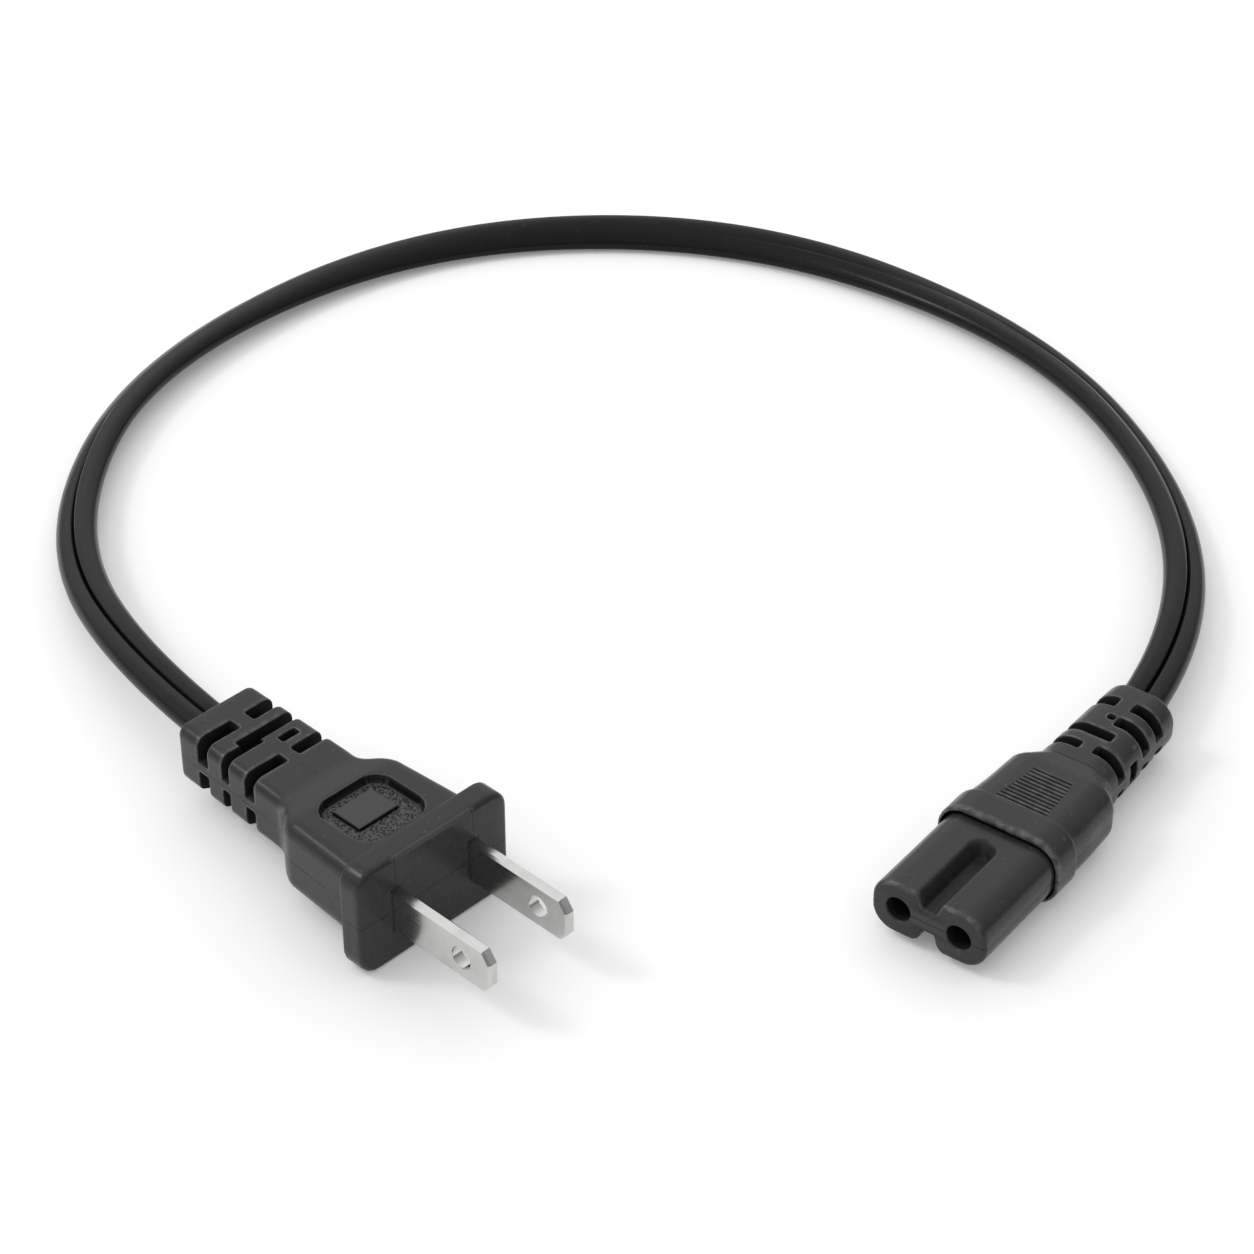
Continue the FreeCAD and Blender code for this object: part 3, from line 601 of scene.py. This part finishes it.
def plug_paint(tree, place):
    """Dark witness lines, painted shade round the blades' roots and on the recess's walls, painted highlights
    round the recess, and the stippled panel of the plug.
    """
    x, y, z = axes_of(tree, place)
    on_face = past(tree, x, -0.3, -0.1)
    above = past(tree, z, 3.1, 3.3, 0.9)
    on_top = past(tree, z, 3.8, 4.0)

    # Dashes along the neck and lines above the blades, and painted shade in the gaps round the blades' roots
    on_neck = narrow_line(tree, x, NECK_MIDDLE, NECK_HALF, 0.2)
    dashes = spread_to(tree, put(tree, "TexWave", {"Vector": place, "Scale": 420.0}), 0.35, 0.6, 0.0, 0.8)
    mark = times(tree, narrow_line(tree, y, NECK_SEAM, 0.06, 0.08), dashes)
    dark = times(tree, mark, times(tree, on_top, on_neck))
    for side in (-BLADE_OFFSET, BLADE_OFFSET):
        upright = times(tree, narrow_line(tree, y, side, 0.05, 0.06), above)
        beside = math_node(tree, "SUBTRACT", away(tree, y, side), BLADE_HALF_THICK * MM)
        over = math_node(tree, "SUBTRACT", away(tree, z, 0.0), BLADE_HALF_WIDTH * MM)
        root_shade = spread_to(tree, either(tree, beside, over), 0.1 * MM, 0.35 * MM, 1.0, 0.0)
        dark = either(tree, dark, times(tree, either(tree, upright, root_shade), on_face))

    # Recess: a painted highlight on its lip, painted shade on its wall and a painted highlight round its
    # floor, and painted shade and highlight at the edges of the plate
    edge = box_edge(tree, x, y, RECESS, RECESS_CORNER)
    plate = box_edge(tree, x, y, PLATE, PLATE_CORNER)
    on_plate = times(tree, spread_to(tree, plate, -0.06, 0.0, 1.0, 0.0), 0.3)
    wall = either(tree, band(tree, edge, -0.56, -0.02, 0.06), band(tree, plate, -0.05, 0.14, 0.05))
    dark = either(tree, dark, times(tree, wall, on_top))
    painted_highlight = either(tree, band(tree, edge, 0.0, 0.2, 0.08), band(tree, edge, -0.78, -0.56, 0.08))
    painted_highlight = times(tree, either(tree, times(tree, painted_highlight, 0.75), on_plate), on_top)
    in_recess = spread_to(tree, edge, -0.76, -0.66, 1.0, 0.0)
    panel = times(tree, in_recess, spread_to(tree, plate, 0.08, 0.14, 0.0, 1.0))
    return dark, painted_highlight, times(tree, panel, on_top)


def plastic(name, level, rough, grain, seam=None, paint=None, with_painted_shade=False, specular=SPECULAR):
    """Moulded black plastic with fine grain, specks, painted highlights along edges, mould seams and painted
    shade in slots and hollows.
    """
    material, tree, shader, place = new_material(name)
    fine = noise(tree, place, grain, 4.0)
    broad = noise(tree, place, 420.0, 2.0)
    colour = mixed(tree, broad, grey(level * 0.85), grey(level * 1.18, 0.0004))
    colour = mixed(tree, spread_to(tree, fine, 0.55, 0.8, 0.0, 0.35), colour, grey(level * GRAIN_TONE))
    height = times(tree, fine, GRAIN_HEIGHT * MM)
    polish = spread_to(tree, broad, 0.3, 0.7, rough - 0.03, rough + 0.04)

    # Light specks, and painted highlights along sharp edges and along the marked lips and rims
    specks = spread_to(tree, noise(tree, place, 1500.0, 1.0), 0.7, 0.76, 0.0, 0.4)
    bend = put(tree, "NewGeometry", {}, output="Pointiness")
    broken = spread_to(tree, noise(tree, place, 900.0, 2.0), 0.4, 0.62, 0.35, 1.0)
    broken_edge_highlight = times(tree, attribute(tree, "painted_edge_highlight"), broken)
    edge_highlight = either(tree, spread_to(tree, bend, 0.53, 0.64, 0.0, 0.55), broken_edge_highlight)
    colour = mixed(tree, either(tree, edge_highlight, specks), colour, grey(level * HIGHLIGHT_TONE))

    # Parting line, with the dark lines, painted shade, painted highlights and the stippled panel that a paint
    # adds
    if seam is not None:
        line = narrow_line(tree, axes_of(tree, place)[2], seam, 0.05, 0.07)
        line = times(tree, line, spread_to(tree, noise(tree, place, 260.0), 0.35, 0.5, 0.45, 1.0))
        if paint is not None:
            dark, painted_highlight, panel = paint(tree, place)
            # The paint's painted shade joins its dark lines and the parting line, and takes the seam's tone
            line = either(tree, line, dark)
            # Painted highlights round the recess and the plate
            colour = mixed(tree, painted_highlight, colour, grey(level * HIGHLIGHT_TONE))
            cells = put(tree, "TexVoronoi", {"Vector": place, "Scale": 2400.0}, feature="F1")
            stipple = times(tree, times(tree, cells, panel), STIPPLE_HEIGHT * MM)
            height = math_node(tree, "ADD", height, stipple)
            # Painted shade in the stipple's pits and painted highlights on its ridges
            pit_shade = times(tree, panel, spread_to(tree, cells, 0.3, 0.42, 1.0, 0.0))
            ridge_highlight = times(tree, panel, spread_to(tree, cells, 0.46, 0.6, 0.0, 0.6))
            colour = mixed(tree, pit_shade, colour, grey(PIT_SHADE_LEVEL))
            colour = mixed(tree, ridge_highlight, colour, grey(level * RIDGE_HIGHLIGHT_TONE))
        colour = mixed(tree, times(tree, line, 0.94), colour, grey(level * SEAM_TONE))
        height = math_node(tree, "SUBTRACT", height, times(tree, line, SEAM_DEPTH * MM))

    # Painted shade in hollows, which are dull as well
    if with_painted_shade:
        painted_shade = attribute(tree, "painted_shade")
        colour = mixed(tree, painted_shade, colour, grey(level * PAINTED_SHADE_TONE))
        polish = either(tree, polish, painted_shade)

    bump = put(tree, "Bump", {"Height": height, "Strength": 1.0, "Distance": 1.0})
    tree.links.new(colour, shader.inputs["Base Color"])
    tree.links.new(bump, shader.inputs["Normal"])
    tree.links.new(polish, shader.inputs["Roughness"])
    shader.inputs["Specular IOR Level"].default_value = specular
    return material


def metal(name, colour, rough, brushed):
    """Plated or plain metal with lines along X from its stamping, and faint stains."""
    material, tree, shader, place = new_material(name)
    stretched = put(tree, "Mapping", {"Vector": place, "Scale": (60.0, 2600.0, 2600.0)})
    lines = noise(tree, stretched, 1.0, 2.0)
    stains = noise(tree, place, 350.0, 3.0)
    darker = tuple(value * 0.88 for value in colour) + (1.0,)
    tint = mixed(tree, spread_to(tree, stains, 0.35, 0.75, 0.0, 1.0), colour + (1.0,), darker)
    bump = put(tree, "Bump", {"Height": lines, "Strength": brushed, "Distance": 0.02 * MM})
    tree.links.new(tint, shader.inputs["Base Color"])
    tree.links.new(bump, shader.inputs["Normal"])
    tree.links.new(spread_to(tree, lines, 0.3, 0.7, rough - 0.02, rough + 0.03), shader.inputs["Roughness"])
    shader.inputs["Metallic"].default_value = 1.0
    return material


soft_pvc = plastic("soft_pvc", 0.025, 0.27, 5200.0, 0.0, plug_paint, with_painted_shade=True)
connector_pvc = plastic("connector_pvc", 0.028, 0.27, 5200.0, CONNECTOR_PLACE[2], with_painted_shade=True)
nose_plastic = plastic("hard_insert", 0.028, 0.25, 4200.0, CONNECTOR_PLACE[2], with_painted_shade=True)
cord_pvc = plastic("cord_pvc", 0.009, 0.22, 3000.0, specular=CORD_SPECULAR)
lead_pvc = plastic("lead_pvc", 0.020, 0.45, 3000.0)
carrier_plastic = plastic("carrier", 0.55, 0.5, 3000.0)
nickel = metal("nickel", (0.60, 0.595, 0.585), 0.17, 0.0)
brass = metal("contact_brass", (0.78, 0.62, 0.32), 0.3, 0.2)
copper = metal("copper", (0.75, 0.42, 0.28), 0.35, 0.8)


# Cord: a flat twin tube that follows the spline of its route and tilts on the way

def route_points():
    """Points of the smooth spline along which the cord runs, with its tilt and its groove's share at each."""
    curve = bpy.data.curves.new("route", "CURVE")
    curve.dimensions = "3D"
    curve.resolution_u = ROUTE_STEPS
    spline = curve.splines.new("NURBS")
    spline.points.add(len(ROUTE) - 1)
    for point, row in zip(spline.points, ROUTE):
        point.co = (row[0] * MM, row[1] * MM, row[2] * MM, 1.0)
    spline.order_u = 3
    spline.use_endpoint_u = True
    holder = bpy.data.objects.new("route", curve)
    bpy.context.scene.collection.objects.link(holder)
    read = bpy.data.meshes.new_from_object(holder)
    points = np.array([vertex.co for vertex in read.vertices]) / MM
    bpy.data.objects.remove(holder)
    bpy.data.meshes.remove(read)

    # Tilt and groove change evenly from one point of the route to the next
    spans = len(ROUTE) - 2
    at_points = np.concatenate([[0.0], np.arange(spans) + 0.5, [spans]])
    shares = np.linspace(0, spans, len(points))
    weights = np.ones(EVENED_OVER) / EVENED_OVER
    evened = []
    for column in (3, 4):
        values = np.interp(shares, at_points, [row[column] for row in ROUTE])
        evened.append(np.convolve(np.pad(values, EVENED_OVER // 2, mode="edge"), weights, mode="valid"))
    return points, np.radians(evened[0]), np.clip(evened[1], 0, 1)


def cord_profile(groove):
    """Twin-lobe outline, grooved on one face and hollow on the other, or an oval where it isn't grooved."""
    half = (CORD_WIDTH - CORD_THICK) / 2
    round_end = CORD_THICK / 2
    turns = np.linspace(0, math.pi / 2, 9)
    upper = [(half + round_end * math.cos(turn), round_end * math.sin(turn)) for turn in turns]
    for u in (1.15, 0.9, 0.6, 0.4, 0.26, 0.15, 0.06):
        crown = round_end - CORD_CROWN * ((half - u) / half) ** 2
        wall = CORD_GROOVE_WALL * float(smooth(CORD_GROOVE_HALF - u, 0.0, CORD_GROOVE_RAMP))
        upper.append((u, crown - wall))
    upper.append((0.0, round_end - CORD_GROOVE_DEPTH))
    lower = [(half + round_end * math.cos(turn), -round_end * math.sin(turn)) for turn in turns]
    for u in (1.1, 0.8, 0.5, 0.25, 0.0):
        lower.append((u, -round_end + CORD_HOLLOW * float(smooth(half - u, 0.0, half))))
    left = [(-u, v) for u, v in reversed(upper[:-1])]
    right_low = list(reversed(lower[1:]))
    left_low = [(-u, v) for u, v in lower[1:-1]]
    twin = np.array(upper + left + left_low + right_low)
    oval = round_end * np.sqrt(np.maximum(1 - (2 * twin[:, 0] / CORD_WIDTH) ** 2, 0)) * np.sign(twin[:, 1])
    return np.column_stack([twin[:, 0], oval + (twin[:, 1] - oval) * groove])


def build_cord():
    """The cord's piece and the line that it follows."""
    points, tilt, groove = route_points()
    along = np.gradient(points, axis=0)
    along /= np.linalg.norm(along, axis=1, keepdims=True)
    left = np.cross((0.0, 0.0, 1.0), along)
    left /= np.linalg.norm(left, axis=1, keepdims=True)
    upward = np.cross(along, left)
    facing = upward * np.cos(tilt)[:, None] + left * np.sin(tilt)[:, None]
    across = np.cross(facing, along)
    profiles = np.array([cord_profile(share) for share in groove])
    rings = points[:, None] + across[:, None] * profiles[:, :, :1] + facing[:, None] * profiles[:, :, 1:]
    faces = tube_faces(len(points), profiles.shape[1])
    piece = new_piece(
        "cord_flex", rings.reshape(-1, 3), faces, "cord", cord_pvc, sharp=CORD_SHARP)
    return piece, points


# Plug moulding

def relief_places(places, slots, others):
    """Places along a relief: rings close to each edge of its slots, and given ones clear of them."""
    edges = [edge for slot in slots for edge in slot[:2]] + list(others)
    close = spaced(around(edges))
    clear = [x for x in places if min(abs(x - edge) for edge in edges) > EDGE_CLEAR]
    return sorted(spaced(close + clear), reverse=True)


def tail_rows(stations, end):
    """Rounded rear end of a relief, and the hole through which the cord comes out."""
    sizes = section(stations, end, TAIL_BLUR)
    rows = []
    for turn in np.linspace(0, math.pi / 2, ROUND_STEPS):
        x = end + TAIL_EDGE * (1 - math.sin(turn))
        rows.append((x, *shrunk(sizes, TAIL_EDGE * (1 - math.cos(turn)))))
    for step, clear in TAIL_HOLE:
        rows.append((end + step, *stadium(CORD_WIDTH / 2 + clear, CORD_THICK / 2 + clear)))
    return rows


def plug_rows():
    """Rings of the plug: place along the plug, half sizes and corner."""
    rows = [(0.0, FLANGE[0] - inset, FLANGE[1] - inset, FACE_CORNER) for inset in FACE_INSETS]
    rows += front_edge(0.0, FLANGE, FLANGE_EDGE)
    rows += [(x, *FLANGE) for x in FLANGE_RINGS]
    for step, share in FLANGE_BLEND:
        x = step - FLANGE_THICK
        rows.append((x, *blended(FLANGE, section(PLUG_STATIONS, x, PLUG_BLUR), share)))
    places = in_spans(PLUG_SPANS) + around(PLATE[:2], PLATE_STEPS)
    for x in relief_places(places, PLUG_SLOTS, EYE[:2]):
        rows.append((x, *section(PLUG_STATIONS, x, PLUG_BLUR)))
    return rows + tail_rows(PLUG_STATIONS, PLUG_TAIL)


def plug_ring(cols, x, width, height, corner):
    """One ring of the plug, cut by the slots, the eye or the recess, with its points of painted shade and of
    painted highlight.
    """
    ring, normals, way = outline(cols, width, height, corner)
    upper = cols["half"] > 0
    painted_shade = painted_edge_highlight = np.zeros(len(way))
    if PLUG_RELIEF[0] < x < PLUG_RELIEF[1]:
        cut = slot_distance(x, way, reach(width, height, corner), PLUG_SLOTS)
        eye = np.where(upper, box_distance(x, way, *EYE, EYE_CORNER), FAR)
        ring, depth = cut_to_core(ring, cut)
        eye_depth = sunk(eye, EYE_DEPTH)
        ring = ring - normals * eye_depth[:, None]
        # Painted shade in the slots and the eye, and painted highlights along their lips
        painted_shade = painted_shade_mark(np.maximum(depth, eye_depth))
        painted_edge_highlight = lip_highlight(np.minimum(cut, eye))
    elif RECESS_SPAN[0] < x < RECESS_SPAN[1]:
        edge = np.where(upper, box_distance(x, way, *RECESS, RECESS_CORNER), FAR)
        plate = box_distance(x, way, *PLATE, PLATE_CORNER)
        rise = PLATE_RISE * smooth(-plate, -0.05, 0.09) * (edge < 0)
        sink = sunk(edge, RECESS_DEPTH, RECESS_LIP, RECESS_WALL) - rise
        ring = ring - normals * sink[:, None]
    return ring + (between(LEAN, x, 1, PLUG_BLUR), 0.0), painted_shade, painted_edge_highlight


def build_plug():
    """Flange, block, neck and slotted relief of the plug."""
    ends = [slot[3] * slot[2] for slot in PLUG_SLOTS]
    top = around(ends + list(EYE[2:])) + around(PLATE[2:], PLATE_STEPS) + even(PLUG_FLAT, 0.24)
    low = around(ends, LOW_EDGE_STEPS) + even(PLUG_FLAT, 1.0)
    from_line = (1.1, 0.92, 0.79, 0.71, 0.5, 0.2, 0.0)
    cols = columns(spaced(top), spaced(low), 24, 12, from_line, PLUG_FLAT)
    rows = plug_rows()
    points, faces, marks = swept(rows, [plug_ring(cols, *row) for row in rows])
    return new_piece("plug_moulding", points, faces, "plug_overmould", soft_pvc, marks=marks)


# Connector moulding and nose

def connector_rows():
    """Rings of the connector's moulding in its own frame: place along it, half sizes and corner."""
    rows = [(COLLAR_FACE + step, *shrunk(NOSE, inset)) for step, inset in GAP_RINGS]
    rows += front_edge(COLLAR_FACE, COLLAR, COLLAR_EDGE)
    rows += [(x, *COLLAR) for x in COLLAR_RINGS]
    for step, share in COLLAR_BLEND:
        x = COLLAR_END + step
        rows.append((x, *blended(COLLAR, section(CONNECTOR_STATIONS, x, CONNECTOR_BLUR), share)))
    lines = np.linspace(GRIP_FIRST, GRIP_LAST, GRIP_LINES)
    places = [x + step for x in lines for step in GRIP_STEPS]
    places += in_spans(CONNECTOR_SPANS) + around([CONNECTOR_FOLD], FOLD_STEPS)
    for x in relief_places(places, CONNECTOR_SLOTS, PINHOLE[:2]):
        rows.append((x, *section(CONNECTOR_STATIONS, x, CONNECTOR_BLUR)))
    return rows + tail_rows(CONNECTOR_STATIONS, CONNECTOR_TAIL)


def connector_ring(cols, in_gap, x, width, height, corner):
    """One ring of the connector's moulding with its cuts, and its points of painted shade and of painted
    highlight.
    """
    ring, normals, way = outline(cols, width, height, corner)
    whole = reach(width, height, corner)
    upper = cols["half"] > 0
    painted_shade = painted_edge_highlight = np.zeros(len(way))
    from_fold = abs(x - CONNECTOR_FOLD)
    if in_gap:
        # Painted shade in the gap round the nose
        painted_shade = np.ones(len(way))
    elif COLLAR_FACE - COLLAR_HIGHLIGHT < x:
        # Painted highlight along the collar's front edge
        painted_edge_highlight = np.ones(len(way))
    elif CONNECTOR_RELIEF[0] < x < CONNECTOR_RELIEF[1]:
        cut = slot_distance(x, way, whole, CONNECTOR_SLOTS)
        ring, depth = cut_to_core(ring, cut)
        pinhole = np.where(upper, box_distance(x, way, *PINHOLE, PINHOLE_CORNER), FAR)
        more = sunk(pinhole, PINHOLE_DEPTH, PINHOLE_LIP)
        cut = np.minimum(cut, pinhole)
        for x_low, x_high, side in CONNECTOR_WINDOWS:
            span = (x_low, x_high, whole - WINDOW_HALF, whole + 2.0)
            window = box_distance(x, way * side, *span, WINDOW_CORNER)
            more = np.maximum(more, sunk(window, WINDOW_DEPTH))
            cut = np.minimum(cut, window)
        ring = ring - normals * more[:, None]
        # Painted shade in the slots, windows and pinhole, and painted highlights along their lips
        painted_shade = painted_shade_mark(np.maximum(depth, more))
        painted_edge_highlight = lip_highlight(cut)
    elif from_fold < 0.3:
        # Painted shade along the crease of the fold
        painted_shade = np.full(len(way), 0.6 * float(smooth(0.2 - from_fold, 0.0, 0.12)))
    elif GRIP_LAST - GRIP_MARGIN < x < GRIP_FIRST + GRIP_MARGIN:
        half = np.interp(x, (GRIP_LAST, GRIP_FIRST), GRIP_HALF[::-1])
        off = np.min(np.abs(np.linspace(GRIP_FIRST, GRIP_LAST, GRIP_LINES) - x))
        within = smooth(half - np.abs(way), -0.1, 0.1)
        line = smooth(GRIP_LINE_HALF - off, 0, GRIP_LINE_RAMP) * within
        ring = ring - normals * (GRIP_DEPTH * line)[:, None]
        # Painted shade in the grip lines, on the top only, and painted highlights between them
        painted_shade = 0.9 * line * upper
        painted_edge_highlight = 0.6 * (1 - line) * within
    return ring + (between(CONNECTOR_LEAN, x, 1, CONNECTOR_LEAN_BLUR), 0.0), painted_shade, painted_edge_highlight


def build_connector():
    """Collar, grip and slotted relief of the connector."""
    ends = [slot[3] * slot[2] for slot in CONNECTOR_SLOTS]
    rib_ends = list(np.arange(2.45, 3.8, 0.15))
    top = around(ends + list(PINHOLE[2:])) + even(CONNECTOR_FLAT, 0.4)
    top += rib_ends + [-way for way in rib_ends]
    low = around(ends, LOW_EDGE_STEPS) + even(CONNECTOR_FLAT, 0.8)
    from_line = (1.8, 1.64, 1.56, 1.2, 0.92, 0.79, 0.71, 0.5, 0.2, 0.0)
    cols = columns(spaced(top), spaced(low), 11, 8, from_line, CONNECTOR_FLAT)
    rows = connector_rows()
    rings = [connector_ring(cols, number < PAINTED_SHADE_RINGS, *row) for number, row in enumerate(rows)]
    points, faces, marks = swept(rows, rings)
    return new_piece(
        "connector_moulding", in_row(points), faces, "connector_overmould", connector_pvc,
        marks=marks)


def nose_ring(cols, x, width, height, corner):
    """One ring of the hard insert with its key grooves, and its points of painted shade and of painted
    highlight.
    """
    ring, normals, way = outline(cols, width, height, corner)
    beyond = min(x - (GROOVE_END + GROOVE_HALF), 0.0)
    distance = np.hypot(way, beyond)
    top = GROOVE_DEPTH * smooth(GROOVE_HALF - distance, 0.0, GROOVE_RAMP)
    low = GROOVE_DEPTH * smooth(LOW_GROOVE_HALF - distance, 0.0, LOW_GROOVE_RAMP)
    lip = np.clip((GROOVE_REACH - distance) / (GROOVE_REACH - LOW_GROOVE_HALF), 0.0, 1.0)
    low = np.minimum(low + LOW_GROOVE_LIP * lip ** 2, GROOVE_DEPTH)
    depth = np.where(cols["half"] > 0, top, low)
    # Painted shade deep in the key grooves and all over the part behind the collar's face
    painted_shade = 0.5 * smooth(depth, 1.0, 2.0) + (x < COLLAR_FACE)
    # Painted highlight along the front edge where it faces up
    at_edge = smooth(x, -NOSE_EDGE - 0.1, -NOSE_EDGE / 2) * (x < -0.01)
    painted_edge_highlight = at_edge * smooth(normals[:, 1], 0.55, 0.95)
    return ring - normals * depth[:, None], painted_shade, painted_edge_highlight


def build_nose():
    """Hard insert with its key grooves, and two mouths in its front face."""
    lines = even(GROOVE_REACH, NOSE_STEP)
    cols = columns(lines, lines, 20, 14, (0.6, 0.3, 0.0), GROOVE_REACH)
    places = list(np.arange(-1.0, -11.0, -1.0)) + list(np.arange(-11.2, -14.3, -NOSE_STEP))
    places += [-14.8, -15.5, COLLAR_FACE + 0.06, COLLAR_FACE - 0.04, -16.8, NOSE_BACK]
    rows = front_edge(0.0, NOSE, NOSE_EDGE) + [(x, *NOSE) for x in places]
    points, faces, marks = swept(rows, [nose_ring(cols, *row) for row in rows])
    front = faces.pop(-2)
    points = list(points)
    painted_shade = list(marks["painted_shade"])
    painted_edge_highlight = list(marks["painted_edge_highlight"])

    # Mouths, from a small bevel at the face to their ends, with painted shade that deepens inward
    loops = [[Vector((points[index][1], points[index][2], 0.0)) for index in front]]
    numbers = list(front)
    mouth = [(MOUTH_RADIUS + 0.14, 0.0, 0.0), (MOUTH_RADIUS, -0.16, 0.2), (MOUTH_RADIUS, -1.6, 0.9)]
    mouth.append((MOUTH_RADIUS, -MOUTH_DEPTH, 1.0))
    turns = np.linspace(0, 2 * math.pi, MOUTH_SIDES, endpoint=False)
    for side in (-1, 1):
        first = len(points)
        for radius, x, dark in mouth:
            for turn in turns:
                points.append((x, side * SOCKET_OFFSET + radius * math.cos(turn), radius * math.sin(turn)))
                painted_shade.append(dark)
                painted_edge_highlight.append(0.0)
        # The rim stays open, because the face round it joins it there
        *walls, rim_cap, end_cap = tube_faces(len(mouth), MOUTH_SIDES)
        for face in walls + [end_cap]:
            faces.append(tuple(first + index for index in face))
        rim = [first + index for index in rim_cap]
        loops.append([Vector((points[index][1], points[index][2], 0.0)) for index in rim])
        numbers += rim
    for triangle in geometry.tessellate_polygon(loops):
        faces.append(tuple(numbers[index] for index in triangle))
    return new_piece(
        "connector_insert", in_row(np.array(points)), faces, "connector_nose", nose_plastic,
        marks={"painted_shade": np.clip(painted_shade, 0, 1), "painted_edge_highlight": painted_edge_highlight})


cord, cord_line = build_cord()
build_plug()
connector = build_connector()
nose = build_nose()

# Nodes that keep their shape get their finish here
finishes = {"blade_near": nickel, "blade_far": nickel, "contact_near": brass, "contact_far": brass}
finishes["blade_carrier"] = carrier_plastic
for end in ("near", "far"):
    for where in ("plug", "connector"):
        finishes["%s_lead_%s" % (where, end)] = lead_pvc
        finishes["%s_strands_%s" % (where, end)] = copper
for name, material in finishes.items():
    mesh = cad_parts[name].data
    mesh.materials.clear()
    mesh.materials.append(material)

# The cord, with the connector's pieces and nodes at its far end
on_cord = [connector, nose]
for name in ("contact", "connector_lead", "connector_strands"):
    on_cord += [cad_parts["%s_%s" % (name, end)] for end in ("near", "far")]

# Pale floor, white to the eye and in reflections, on which a soft shadow stays
ground = bpy.data.meshes.new("floor")
corners = [(-FLOOR_REACH, -FLOOR_REACH), (FLOOR_REACH, -FLOOR_REACH)]
corners += [(FLOOR_REACH, FLOOR_REACH), (-FLOOR_REACH, FLOOR_REACH)]
ground.from_pydata([(x, y, FLOOR * MM) for x, y in corners], [], [(0, 1, 2, 3)])
floor_paint, floor_tree, floor_shader, floor_place = new_material("floor")
floor_tone = mixed(floor_tree, noise(floor_tree, floor_place, 40.0), grey(0.94), grey(0.95))
floor_tree.links.new(floor_tone, floor_shader.inputs["Base Color"])
floor_shader.inputs["Roughness"].default_value = 0.9
floor_shader.inputs["Specular IOR Level"].default_value = 0.0
seen = put(floor_tree, "LightPath", {}, output="Is Camera Ray")
for ray in ("Is Glossy Ray", "Is Transmission Ray"):
    seen = either(floor_tree, seen, put(floor_tree, "LightPath", {}, output=ray))
floor_shader.inputs["Emission Color"].default_value = grey(1.0)
floor_tree.links.new(times(floor_tree, seen, FLOOR_GLOW), floor_shader.inputs["Emission Strength"])
ground.materials.append(floor_paint)
floor = bpy.data.objects.new("floor", ground)
bpy.context.scene.collection.objects.link(floor)
floor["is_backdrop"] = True

# Soft white surroundings: brighter above, darker at the horizon and where the blades point
world = bpy.data.worlds.new("studio")
bpy.context.scene.world = world
world.use_nodes = True
sky = world.node_tree
toward_x, _, upward = axes_of(sky, put(sky, "TexCoord", {}, output="Generated"))
overhead = spread_to(sky, upward, 0.05, 0.5, 0.4, 1.0)
sideways = spread_to(sky, toward_x, -0.7, 0.9, 1.0, 0.45)
glow = times(sky, times(sky, overhead, sideways), SKY_STRENGTH)
backdrop = sky.nodes["Background"]
sky.links.new(glow, backdrop.inputs["Strength"])
backdrop.inputs["Color"].default_value = grey(1.0)

# Round softbox, high behind the plug and to its right
lamp = bpy.data.lights.new("softbox", "AREA")
lamp.shape = "DISK"
lamp.size = SOFTBOX_SIZE
lamp.energy = SOFTBOX_POWER
softbox = bpy.data.objects.new("softbox", lamp)
softbox.location = SOFTBOX_PLACE
softbox.rotation_euler = (Vector(SOFTBOX_AIM) - Vector(SOFTBOX_PLACE)).to_track_quat("-Z", "Y").to_euler()
bpy.context.scene.collection.objects.link(softbox)

# Camera
azimuth = math.radians(CAMERA_AZIMUTH)
elevation = math.radians(CAMERA_ELEVATION)
back = Vector((
    math.sin(azimuth) * math.cos(elevation), -math.cos(azimuth) * math.cos(elevation), math.sin(elevation)))
target = Vector(CAMERA_TARGET) * MM
view = bpy.data.cameras.new("camera")
view.sensor_width = CAMERA_SENSOR
view.lens = CAMERA_LENS
view.clip_start = 0.01
camera = bpy.data.objects.new("camera", view)
camera.location = target + back * CAMERA_DISTANCE * MM
camera.rotation_euler = (-back).to_track_quat("-Z", "Y").to_euler()
bpy.context.scene.collection.objects.link(camera)
bpy.context.scene.camera = camera
bpy.context.scene.view_settings.view_transform = "Standard"

boxes = {"cad": cad_box, "visual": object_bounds()}
boxes = {name: [[float(value) for value in corner] for corner in box] for name, box in boxes.items()}
